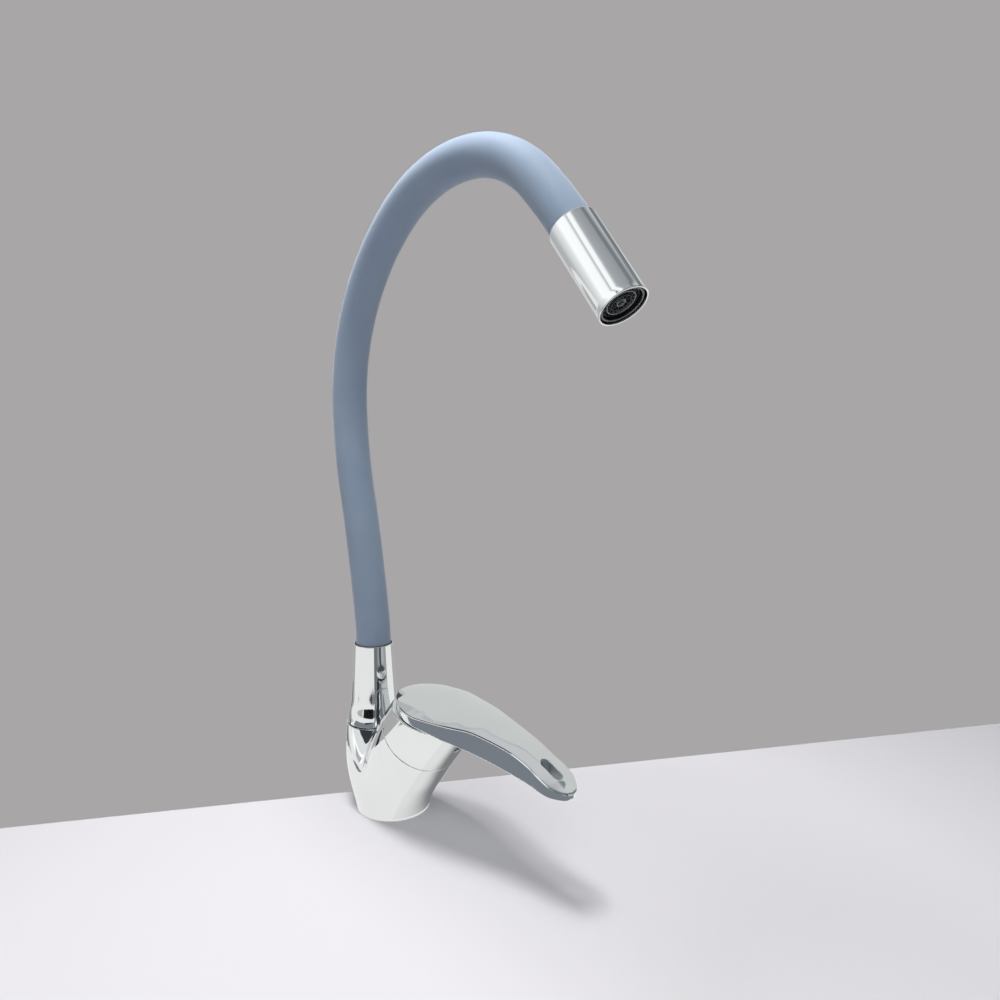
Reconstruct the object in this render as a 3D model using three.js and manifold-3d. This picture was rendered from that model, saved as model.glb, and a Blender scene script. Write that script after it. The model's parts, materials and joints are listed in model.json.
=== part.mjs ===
// Flexible single-lever kitchen tap.
// Millimetres. The origin is the middle of the foot on the deck, +Z is up and +X points the way
// the lever and the outlet point. The middle plane of the tap is y = 0.

import * as THREE from 'three';
import { mergeVertices } from 'three/addons/utils/BufferGeometryUtils.js';
import Module from 'manifold-3d';

const wasm = await Module();
wasm.setup();

// Clearances that several pieces share.
const SEAT = 0.3;
const RUN = 0.4;
const SEAM = 0.5;
const CUT = 2;

// How finely curves are drawn.
const FINE = 40;
const ROUND = 28;
const NECK_SIDES = 24;
const SMALL = 20;
const CORE_SIDES = 12;
const TINY = 10;

// The body: a round foot that opens into a spout branch and an inclined lever branch.
const FOOT_RADIUS = 23.3;
const SWIVEL_SETBACK = 21.9;
const SPOUT_RIM_HEIGHT = 54.5;
const SPOUT_RIM_RADIUS = 19.2;
const DRUM_FORWARD = 31.4;
const DRUM_HEIGHT = 60.2;
const DRUM_TILT = 40 * Math.PI / 180;
const DRUM_RADIUS = 27.6;
const BRANCH_RINGS = 8;
const DRUM_BRANCH_PULL = 30;
const SPOUT_SWELL = 3.9;
const DRUM_SWELL = 1.3;

// Water ways in the body.
const INLET_FORWARD = 4;
const INLET_SPREAD = 7.6;
const INLET_RADIUS = 4.4;
const INLET_SEAT_RADIUS = 5.9;
const INLET_SEAT_DEPTH = 1.4;
const OUTLET_BACK = 9;
const OUTLET_RADIUS = 3.6;
const SPIGOT_RADIUS = 10;
const SPIGOT_BORE = 6;
const SPIGOT_BORE_BOTTOM = 35;

// The base gasket and the clamp under the deck.
const GASKET_OUTER = 21.6;
const GASKET_INNER = 18.6;
const GASKET_THICK = 1.9;
const STUD_BACK = 13;
const STUD_RADIUS = 3.9;
const STUD_DEPTH = 13;
const STUD_DROP = 62;
const DECK_GAP = 15;
const CLAMP_RADIUS = 25;
const CLAMP_MOUTH = 13.6;
const CLAMP_MOUTH_BACK = 5;
const CLAMP_RUBBER_THICK = 2;
const CLAMP_PLATE_THICK = 2;
const NUT_SIDES = 6;
const NUT_FLAT_RADIUS = 7.5;
const NUT_HEIGHT = 6.5;

// The cartridge well. Heights along the drum axis are counted from the seam; below it is minus.
const WELL_RADIUS = 20.4;
const WELL_DEPTH = 44;
const NUT_WELL_RADIUS = 22.3;
const GUIDE_WELL_RADIUS = 24.3;
const GUIDE_WELL_DEPTH = 6;
const CARTRIDGE_RADIUS = 20.1;
const CARTRIDGE_BASE_THICK = 5.4;
const SEAL_OUTER = 5.6;
const SEAL_INNER = 3.9;
const SEAL_THICK = 1.9;
const DISC_RADIUS = 16.8;
const DISC_THICK = 3.6;
const CHAMBER_RADIUS = 17.3;
const HOUSING_WEB = 3.4;
const NECK_OUTER = 15.9;
const NECK_INNER = 10.1;
const NECK_RISE = 7;
const SLIDER_RADIUS = 12.6;
const SLIDER_THICK = 5.6;
const POCKET_SHARE = 0.62;
const MIXING_RADIUS = 7.8;
const MIXING_DEPTH = 1.1;
const CARRIER_RADIUS = 16.9;
const CARRIER_THICK = 6.2;
const CARRIER_NECK = 9.7;
const RETAINER_INNER = 16.3;
const RETAINER_HEIGHT = 9.3;
const RETAINER_NOTCH = 4;
const GUIDE_INNER = 21.8;
const GUIDE_OUTER = 23.9;
const GUIDE_RISE = 6;

// The stem and the way the lever lifts.
const LIFT_DEPTH = 14;
const LIFT_ANGLE = 24 * Math.PI / 180;
const STEM_WIDTH = 8;
const STEM_THICK = 6;
const STEM_KNUCKLE = 4.6;
const STEM_TOP = 44;
const STEM_TIP = 17.4;
const PIN_RADIUS = 1.4;
const HUB_RADIUS = 8;
const HUB_BOTTOM = 29;
const HUB_TOP = 56;
const SCREW_RADIUS = 2.3;
const SCREW_HEIGHT = 40;
const SCREW_LENGTH = 3.4;

// The turret: the round skirt that turns with the lever.
const TURRET_WALL = 2.3;
const TURRET_DECK = 2.2;
const DECK_SLOT_HALF = 8.8;
const DECK_SLOT_BACK = 28;
const DECK_SLOT_FRONT = 72;
const TURRET_HEIGHT = 60;
const PARTING_X = 38;
const PARTING_RISE = 20.8;
const PARTING_FALL = 0.167;
const PLUG_RADIUS = 3.2;
const PLUG_HEIGHT = 24;
const DUST_THICK = 1.4;
const DUST_HALF = 9.3;
const DUST_BACK = 17;
const DUST_FRONT = 27;

// The spout cone and its swivel.
const CONE_LIP_RADIUS = 18.6;
const CONE_LIP_HEIGHT = 4.4;
const CONE_SHOULDER_RADIUS = 17.1;
const CONE_SHOULDER_HEIGHT = 11;
const CONE_WAIST_RADIUS = 16;
const CONE_WAIST_HEIGHT = 20.5;
const CONE_UPPER_RADIUS = 14.5;
const CONE_UPPER_HEIGHT = 40.5;
const CONE_TOP_RADIUS = 13.4;
const CONE_HEIGHT = 56;
const CONE_BORE = 10.4;
const CONE_WATER = 7;
const THRUST_OUTER = 16.8;
const THRUST_THICK = 1.6;
const ORING_RADIUS = 1;
const ORING_PLAY = 0.14;
// The metal left between two grooves of the swivel.
const SWIVEL_LAND = 4.4;
const CLIP_THICK = 1.2;
const CLIP_INNER = 9;
const CLIP_OUTER = 11.2;
const CLIP_GAP = 24 * Math.PI / 180;

// The flexible neck.
const NECK_RADIUS = 12;
const NECK_INSET = 3.4;
const COLLAR_WALL = 0.9;
const COLLAR_DEPTH = 1.4;
const NECK_LENGTH = 475;
const SLEEVE_WALL = 3.2;
const CORE_RADIUS = 8.3;
const CORE_BORE = 5.7;
const BALL_GAP = 0.7;
const TUBE_RADIUS = 5;
const TUBE_BORE = 3.5;
const FERRULE_RADIUS = 8.4;
const FERRULE_LENGTH = 19;
const FERRULE_SOCKET = 9;
const FERRULE_WATER = 3.4;
const NECK_STEP = 20;

// The bends of the neck from the cone up: each arc's share of the length, and its turn in degrees.
const NECK_ARC_SHARES = [0.042, 0.189, 0.126, 0.292, 0.16, 0.113, 0.078];
const NECK_TURNS = [8.2, 4.9, -11.8, -55.2, -44, -37.6, -7.3];

// Shares of the neck's length at which its bending joints sit.
const JOINT_SHARES = [0.165, 0.395, 0.62, 0.835];

// The outlet head.
const HEAD_LENGTH = 54.7;
const HEAD_RADIUS = 13.4;
const HEAD_EDGE = 1.2;
const HEAD_LIP_SHARE = 0.3;
const HEAD_WEB_TOP = 8;
const HEAD_WEB_BOTTOM = 17;
const HEAD_CHAMBER = 7.4;
const AERATOR_DEPTH = 19.7;
const AERATOR_POCKET = 12.75;
const AERATOR_RADIUS = 12.3;
const AERATOR_BORE = 10.7;
const AERATOR_LIP = 9.9;
const WASHER_THICK = 1.6;
const WASHER_INNER = 7;
const SCREEN_THICK = 0.8;
const SCREEN_HOLE = 0.9;
const SCREEN_ROW_SHARES = [0.35, 0.7];
const SCREEN_COUNT = 6;
const SCREEN_SIDES = 6;
const INSERT_THICK = 6;
const INSERT_RING_SHARES = [0.88, 0.58, 0.28];
const INSERT_RING_WALL = 1.1;
const INSERT_RIB = 0.9;
const INSERT_RIBS = 8;
const OUTLET_RECESS = 1.2;

// The lever blade.
const BLADE_REAR = 17;
const BLADE_LENGTH = 144.5;
const BLADE_HALF_WIDTH = 27.2;
const BLADE_DROP = 16.4;
const BLADE_FALL = 24;
const BLADE_CROWN = 6;
const BLADE_STATIONS = 28;
const BLADE_LIP = 2.6;
const SLOT_SHARE = 0.8872;
const SLOT_HALF_LENGTH = 7;
const SLOT_HALF_WIDTH = 3.1;

// Shares of the blade's length from its rear end, each with a share of its half width, or of its
// fall from the rear end's rim to the tip's, or of its depth at that place.
const BLADE_WIDTH_SHARES = [
  [0, 0], [0.006, 0.22], [0.024, 0.42], [0.074, 0.665], [0.134, 0.857], [0.18, 0.96], [0.226, 1],
  [0.263, 0.993], [0.311, 0.949], [0.435, 0.812], [0.551, 0.621], [0.673, 0.507], [0.786, 0.434],
  [0.837, 0.419], [0.886, 0.43], [0.93, 0.404], [0.967, 0.294], [0.992, 0.147], [1, 0],
];
const BLADE_RIM_SHARES = [
  [0, 1], [0.074, 0.983], [0.18, 0.9], [0.299, 0.842], [0.435, 0.842], [0.526, 0.842],
  [0.613, 0.783], [0.731, 0.658], [0.81, 0.508], [0.886, 0.321], [0.967, 0.083], [1, 0],
];
const BLADE_SOLE_SHARES = [
  [0, 0.225], [0.429, 0.429], [0.519, 0.321], [0.595, 0.254], [0.664, 0.167], [0.734, 0.083],
  [0.814, -0.029], [0.879, -0.125], [0.934, -0.179], [1, -0.133],
];
const BLADE_BAND_SHARES = [[0, 0.15], [0.166, 0.55], [0.436, 0.66], [0.644, 0.8], [0.817, 0.76], [1, 0.6]];

const DEGREE = Math.PI / 180;
const HALF = 0.5;
const FULL_TURN = 2 * Math.PI;
const point = (x, y, z) => new THREE.Vector3(x, y, z);

// A smooth curve through listed points, read off at any x.
function follow(points, x) {
  const last = points.length - 1;
  let i = 0;
  while (i < last - 1 && x > points[i + 1][0]) {
    i += 1;
  }
  const [x0, y0] = points[i];
  const [x1, y1] = points[i + 1];
  const slope = (a, b) => (points[b][1] - points[a][1]) / (points[b][0] - points[a][0]);
  const here = slope(i, i + 1);
  const before = i > 0 ? slope(i - 1, i) : here;
  const after = i < last - 1 ? slope(i + 1, i + 2) : here;
  const meet = (a, b) => (a * b > 0 ? 2 * a * b / (a + b) : 0);
  const m0 = i > 0 ? meet(before, here) : here;
  const m1 = i < last - 1 ? meet(here, after) : here;
  const span = x1 - x0;
  const t = Math.min(Math.max((x - x0) / span, 0), 1);
  const t2 = t * t;
  const t3 = t2 * t;
  const fromFirst = (2 * t3 - 3 * t2 + 1) * y0 + (t3 - 2 * t2 + t) * span * m0;
  const fromSecond = (3 * t2 - 2 * t3) * y1 + (t3 - t2) * span * m1;
  return fromFirst + fromSecond;
}

// A closed skin over rings of points. A ring of one point closes the skin there. Seen from the way
// the rings advance, each ring turns anticlockwise.
function shell(rings, loop = false) {
  const positions = [];
  const starts = [];
  let count = 0;
  rings.forEach((ring) => {
    starts.push(count);
    ring.forEach((p) => positions.push(p.x, p.y, p.z));
    count += ring.length;
  });
  const index = [];
  const pairs = loop ? rings.length : rings.length - 1;
  for (let i = 0; i < pairs; i += 1) {
    const next = (i + 1) % rings.length;
    const a = rings[i].length;
    const b = rings[next].length;
    const around = Math.max(a, b);
    for (let j = 0; j < around && around > 1; j += 1) {
      const k = (j + 1) % around;
      if (a === 1) {
        index.push(starts[i], starts[next] + k, starts[next] + j);
      } else if (b === 1) {
        index.push(starts[i] + j, starts[i] + k, starts[next]);
      } else {
        index.push(starts[i] + j, starts[i] + k, starts[next] + k);
        index.push(starts[i] + j, starts[next] + k, starts[next] + j);
      }
    }
  }
  const geometry = new THREE.BufferGeometry();
  geometry.setAttribute('position', new THREE.Float32BufferAttribute(positions, 3));
  geometry.setIndex(index);
  return geometry;
}

function centre(ring) {
  const middle = point(0, 0, 0);
  ring.forEach((p) => middle.add(p));
  return middle.divideScalar(ring.length);
}

function capped(rings) {
  return shell([[centre(rings[0])], ...rings, [centre(rings[rings.length - 1])]]);
}

function ringAt(radius, height, sides) {
  if (radius === 0) {
    return [point(0, 0, height)];
  }
  return Array.from({ length: sides }, (_, j) => {
    const angle = FULL_TURN * j / sides;
    return point(radius * Math.cos(angle), radius * Math.sin(angle), height);
  });
}

// A body of revolution about Z from [radius, height] points that run up the outside.
function turned(profile, sides = ROUND) {
  const rings = profile.map(([radius, height]) => ringAt(radius, height, sides));
  const open = profile[0][0] === 0;
  return shell(rings, !open);
}

function rod(radius, bottom, top, sides = ROUND) {
  return turned([[0, bottom], [radius, bottom], [radius, top], [0, top]], sides);
}

function washer(inner, outer, bottom, top, sides = ROUND) {
  return turned([[inner, bottom], [outer, bottom], [outer, top], [inner, top]], sides);
}

function ball(radius, sides = ROUND) {
  const rows = sides * HALF;
  const profile = Array.from({ length: rows + 1 }, (_, i) => {
    const angle = Math.PI * i / rows - Math.PI * HALF;
    const onAxis = i === 0 || i === rows;
    return [onAxis ? 0 : radius * Math.cos(angle), radius * Math.sin(angle)];
  });
  return turned(profile, sides);
}

function oring(middle, height, section, sides = ROUND) {
  const steps = 8;
  const profile = Array.from({ length: steps }, (_, i) => {
    const angle = FULL_TURN * i / steps;
    return [middle + section * Math.cos(angle), height + section * Math.sin(angle)];
  });
  return turned(profile, sides);
}

// A straight-sided body whose outline lies in x and z and which reaches across y.
function slab(outline, halfWidth) {
  const rings = [halfWidth, -halfWidth].map((y) => outline.map(([x, z]) => point(x, y, z)));
  return capped(rings);
}

// A straight-sided body whose outline lies in x and y and which stands up along z.
function prism(outline, bottom, top) {
  return capped([bottom, top].map((z) => outline.map(([x, y]) => point(x, y, z))));
}

function block(x0, x1, y0, y1, z0, z1) {
  return prism([[x0, y0], [x1, y0], [x1, y1], [x0, y1]], z0, z1);
}

function oblong(x, halfLength, halfWidth, sides = TINY) {
  const straight = halfLength - halfWidth;
  return Array.from({ length: sides }, (_, j) => {
    const angle = FULL_TURN * (j + HALF) / sides - Math.PI * HALF;
    const end = Math.cos(angle) > 0 ? straight : -straight;
    return [x + end + halfWidth * Math.cos(angle), halfWidth * Math.sin(angle)];
  });
}

function moved(geometry, matrix) {
  return geometry.clone().applyMatrix4(matrix);
}

function toSolid(geometry) {
  const bare = geometry.clone();
  bare.deleteAttribute('normal');
  bare.deleteAttribute('uv');
  const welded = mergeVertices(bare);
  const mesh = new wasm.Mesh({
    numProp: 3,
    vertProperties: new Float32Array(welded.attributes.position.array),
    triVerts: new Uint32Array(welded.index.array),
  });
  return new wasm.Manifold(mesh);
}

function fromSolid(solid) {
  const mesh = solid.getMesh();
  const geometry = new THREE.BufferGeometry();
  geometry.setAttribute('position', new THREE.BufferAttribute(new Float32Array(mesh.vertProperties), 3));
  geometry.setIndex(new THREE.BufferAttribute(new Uint32Array(mesh.triVerts), 1));
  return geometry;
}

function joined(...geometries) {
  return fromSolid(wasm.Manifold.union(geometries.map(toSolid)));
}

function cut(geometry, ...tools) {
  return fromSolid(toSolid(geometry).subtract(wasm.Manifold.union(tools.map(toSolid))));
}

function common(first, second) {
  return fromSolid(toSolid(first).intersect(toSolid(second)));
}

// A frame whose own Z leans from straight up towards +X by an angle.
function leaning(x, z, angle) {
  const across = point(Math.cos(angle), 0, -Math.sin(angle));
  const along = point(Math.sin(angle), 0, Math.cos(angle));
  return new THREE.Matrix4().makeBasis(across, point(0, 1, 0), along).setPosition(x, 0, z);
}

const DRUM = leaning(DRUM_FORWARD, DRUM_HEIGHT, DRUM_TILT);
const SWIVEL = leaning(-SWIVEL_SETBACK, 0, 0);
const PIVOT_X = DRUM_FORWARD - LIFT_DEPTH * Math.sin(DRUM_TILT);
const PIVOT_Z = DRUM_HEIGHT - LIFT_DEPTH * Math.cos(DRUM_TILT);
const STEM_LEAN = DRUM_TILT + LIFT_ANGLE * HALF;
const STEM = leaning(PIVOT_X, PIVOT_Z, STEM_LEAN);

// The cartridge's pieces, stacked along the drum axis from the floor of its well
const baseBottom = -WELL_DEPTH + SEAT;
const baseTop = baseBottom + CARTRIDGE_BASE_THICK;
const discBottom = baseTop + SEAT;
const discTop = discBottom + DISC_THICK;
const sliderBottom = discTop + SEAT;
const sliderTop = sliderBottom + SLIDER_THICK;
const carrierBottom = sliderTop + SEAT;
const carrierTop = carrierBottom + CARRIER_THICK;
const housingBottom = baseTop + SEAT;
const housingChamber = carrierTop + RUN;
const housingShoulder = housingChamber + HOUSING_WEB;
const housingTop = housingShoulder + NECK_RISE;
const retainerBottom = housingShoulder + SEAT;
const retainerTop = retainerBottom + RETAINER_HEIGHT;

// The body casting

// One branch of the body: rings from the foot to a rim, their middles on a curve through a knee.
function branch(rimX, rimZ, lean, rimRadius, kneeX, kneeZ, swell) {
  const rings = [];
  for (let i = 0; i <= BRANCH_RINGS; i += 1) {
    const t = i / BRANCH_RINGS;
    const left = 1 - t;
    const x = 2 * t * left * kneeX + t * t * rimX;
    const z = 2 * t * left * kneeZ + t * t * rimZ;
    const ease = t * t * (3 - 2 * t);
    const radius = FOOT_RADIUS * left + rimRadius * t + 4 * swell * t * left;
    const frame = leaning(x, z, lean * ease);
    rings.push(ringAt(radius, 0, FINE).map((p) => p.applyMatrix4(frame)));
  }
  return capped(rings);
}

const spoutBranch = branch(-SWIVEL_SETBACK, SPOUT_RIM_HEIGHT, 0, SPOUT_RIM_RADIUS,
  -SWIVEL_SETBACK * HALF, SPOUT_RIM_HEIGHT * HALF, SPOUT_SWELL);
const drumBranch = branch(DRUM_FORWARD, DRUM_HEIGHT, DRUM_TILT, DRUM_RADIUS,
  DRUM_FORWARD - DRUM_BRANCH_PULL * Math.sin(DRUM_TILT),
  DRUM_HEIGHT - DRUM_BRANCH_PULL * Math.cos(DRUM_TILT), DRUM_SWELL);

const SPIGOT_BOTTOM = SPOUT_RIM_HEIGHT - SPIGOT_RADIUS;
const oringMiddle = CONE_BORE - ORING_RADIUS - ORING_PLAY;
const oringGroove = oringMiddle - ORING_RADIUS - ORING_PLAY;
const grooveHalf = ORING_RADIUS + SEAT;
const thrustTop = SPOUT_RIM_HEIGHT + SEAT + THRUST_THICK;
const sealLow = thrustTop + SWIVEL_LAND + grooveHalf;
const sealHigh = sealLow + SWIVEL_LAND + 2 * grooveHalf;
const clipBottom = sealHigh + grooveHalf + SWIVEL_LAND + SEAT;
const clipTop = clipBottom + CLIP_THICK;
const spigotTop = clipTop + SEAT + SWIVEL_LAND * HALF;
const coneBoreTop = spigotTop + SWIVEL_LAND * HALF;
const spigot = turned([
  [0, SPIGOT_BOTTOM],
  [SPIGOT_RADIUS, SPIGOT_BOTTOM],
  [SPIGOT_RADIUS, sealLow - grooveHalf],
  [oringGroove, sealLow - grooveHalf],
  [oringGroove, sealLow + grooveHalf],
  [SPIGOT_RADIUS, sealLow + grooveHalf],
  [SPIGOT_RADIUS, sealHigh - grooveHalf],
  [oringGroove, sealHigh - grooveHalf],
  [oringGroove, sealHigh + grooveHalf],
  [SPIGOT_RADIUS, sealHigh + grooveHalf],
  [SPIGOT_RADIUS, clipBottom - SEAT],
  [CLIP_INNER - SEAT, clipBottom - SEAT],
  [CLIP_INNER - SEAT, clipTop + SEAT],
  [SPIGOT_RADIUS, clipTop + SEAT],
  [SPIGOT_RADIUS, spigotTop],
  [0, spigotTop],
], SMALL);

const well = turned([
  [0, -WELL_DEPTH],
  [WELL_RADIUS, -WELL_DEPTH],
  [WELL_RADIUS, housingShoulder],
  [NUT_WELL_RADIUS, housingShoulder],
  [NUT_WELL_RADIUS, -GUIDE_WELL_DEPTH],
  [GUIDE_WELL_RADIUS, -GUIDE_WELL_DEPTH],
  [GUIDE_WELL_RADIUS, CUT],
  [0, CUT],
]);

const gasketGroove = washer(GASKET_INNER - SEAT, GASKET_OUTER + SEAT, -CUT, GASKET_THICK + SEAT);
const studHole = moved(rod(STUD_RADIUS + SEAT, -CUT, STUD_DEPTH + 2 * SEAT, SMALL),
  leaning(-STUD_BACK, 0, 0));

// Where a drum-frame floor point lies in the tap's frame.
const wellFloor = point(-OUTLET_BACK, 0, -WELL_DEPTH).applyMatrix4(DRUM);
const outletRun = point(-SWIVEL_SETBACK - wellFloor.x, 0, SPIGOT_BORE_BOTTOM + OUTLET_RADIUS - wellFloor.z);
const outletLean = Math.atan2(outletRun.x, outletRun.z);
const outletBore = moved(rod(OUTLET_RADIUS, -OUTLET_RADIUS, outletRun.length(), SMALL),
  leaning(wellFloor.x, wellFloor.z, outletLean));
const spigotBore = moved(rod(SPIGOT_BORE, SPIGOT_BORE_BOTTOM, spigotTop + CUT, SMALL), SWIVEL);

const floorMiddle = point(0, 0, -WELL_DEPTH).applyMatrix4(DRUM);
const inletFloor = (INLET_FORWARD - floorMiddle.x) / Math.cos(DRUM_TILT);
const inletTop = point(inletFloor, 0, -WELL_DEPTH).applyMatrix4(DRUM).z;
const sides = [1, -1];
const inletBores = sides.map((side) => {
  const bore = rod(INLET_RADIUS, -CUT, inletTop + INLET_SEAT_DEPTH, SMALL);
  return bore.translate(INLET_FORWARD, side * INLET_SPREAD, 0);
});
const inletSeats = sides.map((side) => {
  const seat = rod(INLET_SEAT_RADIUS, -WELL_DEPTH - INLET_SEAT_DEPTH, -WELL_DEPTH + SEAT, SMALL);
  return moved(seat.translate(inletFloor, side * INLET_SPREAD, 0), DRUM);
});

const coneRoom = moved(rod(CONE_LIP_RADIUS + RUN, SPOUT_RIM_HEIGHT, spigotTop, FINE), SWIVEL);
const branches = cut(joined(spoutBranch, drumBranch), coneRoom);
const casting = joined(branches, moved(spigot, SWIVEL));
const body = cut(casting, moved(well, DRUM), gasketGroove, studHole, outletBore, spigotBore,
  ...inletBores, ...inletSeats);

// Under the deck

const baseGasket = washer(GASKET_INNER, GASKET_OUTER, 0, GASKET_THICK);
const stud = moved(rod(STUD_RADIUS, -STUD_DROP, STUD_DEPTH, SMALL), leaning(-STUD_BACK, 0, 0));

function clampOutline() {
  const mouth = Math.asin(CLAMP_MOUTH / CLAMP_RADIUS);
  const outline = [];
  for (let i = 0; i <= ROUND; i += 1) {
    const angle = mouth + (FULL_TURN - 2 * mouth) * i / ROUND;
    outline.push([CLAMP_RADIUS * Math.cos(angle), CLAMP_RADIUS * Math.sin(angle)]);
  }
  for (let i = 0; i <= TINY; i += 1) {
    const angle = -Math.PI * HALF - Math.PI * i / TINY;
    outline.push([
      -CLAMP_MOUTH_BACK + CLAMP_MOUTH + CLAMP_MOUTH * Math.cos(angle),
      CLAMP_MOUTH * Math.sin(angle),
    ]);
  }
  return outline;
}

// A horseshoe plate from its outline, with the stud's hole cut in it.
function horseshoe(bottom, top) {
  const shape = new THREE.Shape(clampOutline().map(([x, y]) => new THREE.Vector2(x, y)));
  const plate = new THREE.ExtrudeGeometry(shape, { depth: top - bottom, bevelEnabled: false });
  plate.translate(0, 0, bottom);
  const hole = moved(rod(STUD_RADIUS + SEAT, bottom - CUT, top + CUT, SMALL),
    leaning(-STUD_BACK, 0, 0));
  return cut(plate, hole);
}

const rubberTop = -DECK_GAP;
const rubberBottom = rubberTop - CLAMP_RUBBER_THICK;
const plateTop = rubberBottom - SEAT;
const plateBottom = plateTop - CLAMP_PLATE_THICK;
const nutTop = plateBottom - SEAT;
const clampRubber = horseshoe(rubberBottom, rubberTop);
const clampPlate = horseshoe(plateBottom, plateTop);
const hexagon = Array.from({ length: NUT_SIDES }, (_, i) => {
  const angle = FULL_TURN * i / NUT_SIDES;
  return [NUT_FLAT_RADIUS * Math.cos(angle), NUT_FLAT_RADIUS * Math.sin(angle)];
});
const clampNut = moved(
  cut(prism(hexagon, nutTop - NUT_HEIGHT, nutTop),
    rod(STUD_RADIUS + SEAT, nutTop - NUT_HEIGHT - CUT, nutTop + CUT, SMALL)),
  leaning(-STUD_BACK, 0, 0));

// The cartridge, in the drum's frame

const portPlaces = [
  [inletFloor, INLET_SPREAD],
  [inletFloor, -INLET_SPREAD],
  [-OUTLET_BACK, 0],
];
const portHoles = portPlaces.map(([x, y]) => (
  rod(SEAL_INNER - SEAT, baseBottom - CUT, discTop + CUT, SMALL).translate(x, y, 0)));
const sealSeats = portPlaces.map(([x, y]) => (
  rod(SEAL_OUTER + SEAT, baseBottom - CUT, baseBottom + SEAL_THICK + SEAT, SMALL).translate(x, y, 0)));
const cartridgeBase = cut(rod(CARTRIDGE_RADIUS, baseBottom, baseTop), ...portHoles, ...sealSeats);
const seals = portPlaces.map(([x, y]) => (
  washer(SEAL_INNER, SEAL_OUTER, baseBottom, baseBottom + SEAL_THICK, SMALL).translate(x, y, 0)));
const fixedDisc = cut(rod(DISC_RADIUS, discBottom, discTop), ...portHoles);

const stemTravel = (STEM_TIP - STEM_THICK * HALF) * Math.sin(LIFT_ANGLE * HALF);
const pocketHalf = STEM_THICK * HALF + RUN;
const pocketDepth = SLIDER_THICK * POCKET_SHARE;
const sliderMixing = rod(MIXING_RADIUS, sliderBottom - CUT, sliderBottom + MIXING_DEPTH, SMALL);
const movingDisc = cut(
  rod(SLIDER_RADIUS, sliderBottom, sliderTop),
  block(-pocketHalf, pocketHalf, -STEM_WIDTH * HALF - RUN, STEM_WIDTH * HALF + RUN,
    sliderTop - pocketDepth, sliderTop + CUT),
  sliderMixing,
).translate(-stemTravel, 0, 0);

const carrierNeckTop = housingTop - SEAT;
const slotWide = STEM_WIDTH * HALF + RUN;
const swingBelow = (CARRIER_THICK + LIFT_DEPTH) * Math.tan(LIFT_ANGLE * HALF) + pocketHalf + RUN;
const carrier = cut(
  turned([
    [0, carrierBottom],
    [CARRIER_RADIUS, carrierBottom],
    [CARRIER_RADIUS, carrierTop],
    [CARRIER_NECK, carrierTop],
    [CARRIER_NECK, carrierNeckTop],
    [0, carrierNeckTop],
  ]),
  block(-swingBelow, swingBelow, -slotWide, slotWide, carrierBottom - CUT, carrierNeckTop + CUT),
  moved(rod(PIN_RADIUS + SEAT, -CARRIER_NECK - CUT, CARRIER_NECK + CUT, TINY)
    .rotateX(Math.PI * HALF), leaning(0, -LIFT_DEPTH, 0)),
);
const stemPin = moved(rod(PIN_RADIUS, -CARRIER_NECK + SEAT, CARRIER_NECK - SEAT, TINY)
  .rotateX(Math.PI * HALF), leaning(0, -LIFT_DEPTH, 0));

const housing = turned([
  [CHAMBER_RADIUS, housingBottom],
  [CARTRIDGE_RADIUS, housingBottom],
  [CARTRIDGE_RADIUS, housingShoulder],
  [NECK_OUTER, housingShoulder],
  [NECK_OUTER, housingTop],
  [NECK_INNER, housingTop],
  [NECK_INNER, housingChamber],
  [CHAMBER_RADIUS, housingChamber],
]);

const retainerNotches = [0, 1].map((turn) => (
  block(-NUT_WELL_RADIUS, NUT_WELL_RADIUS, -RETAINER_NOTCH * HALF, RETAINER_NOTCH * HALF,
    retainerTop - RETAINER_NOTCH, retainerTop + CUT).rotateZ(turn * Math.PI * HALF)));
const retainer = cut(
  washer(RETAINER_INNER, NUT_WELL_RADIUS - SEAT, retainerBottom, retainerTop), ...retainerNotches);
const guideRing = turned([
  [GUIDE_INNER, -GUIDE_WELL_DEPTH + SEAT],
  [GUIDE_OUTER, -GUIDE_WELL_DEPTH + SEAT],
  [GUIDE_OUTER, GUIDE_RISE],
  [GUIDE_INNER, GUIDE_RISE],
]);

// The stem, in its own frame about the lift pivot

const stemShank = block(-STEM_THICK * HALF, STEM_THICK * HALF, -STEM_WIDTH * HALF, STEM_WIDTH * HALF,
  -STEM_TIP + STEM_THICK * HALF, STEM_TOP);
const acrossStem = new THREE.Matrix4().makeRotationX(Math.PI * HALF);
const stemTip = moved(rod(STEM_THICK * HALF, -STEM_WIDTH * HALF, STEM_WIDTH * HALF, SMALL), acrossStem)
  .translate(0, 0, -STEM_TIP + STEM_THICK * HALF);
const stemKnuckle = moved(rod(STEM_KNUCKLE, -STEM_WIDTH * HALF, STEM_WIDTH * HALF, SMALL), acrossStem);
const stemPinHole = moved(rod(PIN_RADIUS + SEAT, -STEM_WIDTH, STEM_WIDTH, TINY), acrossStem);
const stem = cut(joined(stemShank, stemTip, stemKnuckle), stemPinHole);

// The lever

// The parting between the turret and the lever: a slope in front and, behind the point where the
// two meet smoothly, a curve about the lift pivot, so that the lever's rear rolls over the turret.
const partingSlant = Math.hypot(1, PARTING_FALL);
const partingZ = DRUM_HEIGHT + PARTING_RISE;
const tipHeight = partingZ - BLADE_DROP;
const rollRadius = (partingZ + PARTING_FALL * (PARTING_X - PIVOT_X) - PIVOT_Z) / partingSlant;
const rollEnd = PIVOT_X + rollRadius * PARTING_FALL / partingSlant;

function partingHeight(x, lift) {
  if (x > rollEnd) {
    return partingZ - PARTING_FALL * (x - PARTING_X) + lift * partingSlant;
  }
  const reach = (rollRadius + lift) ** 2 - (x - PIVOT_X) ** 2;
  return PIVOT_Z + Math.sqrt(Math.max(reach, 0));
}

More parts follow.
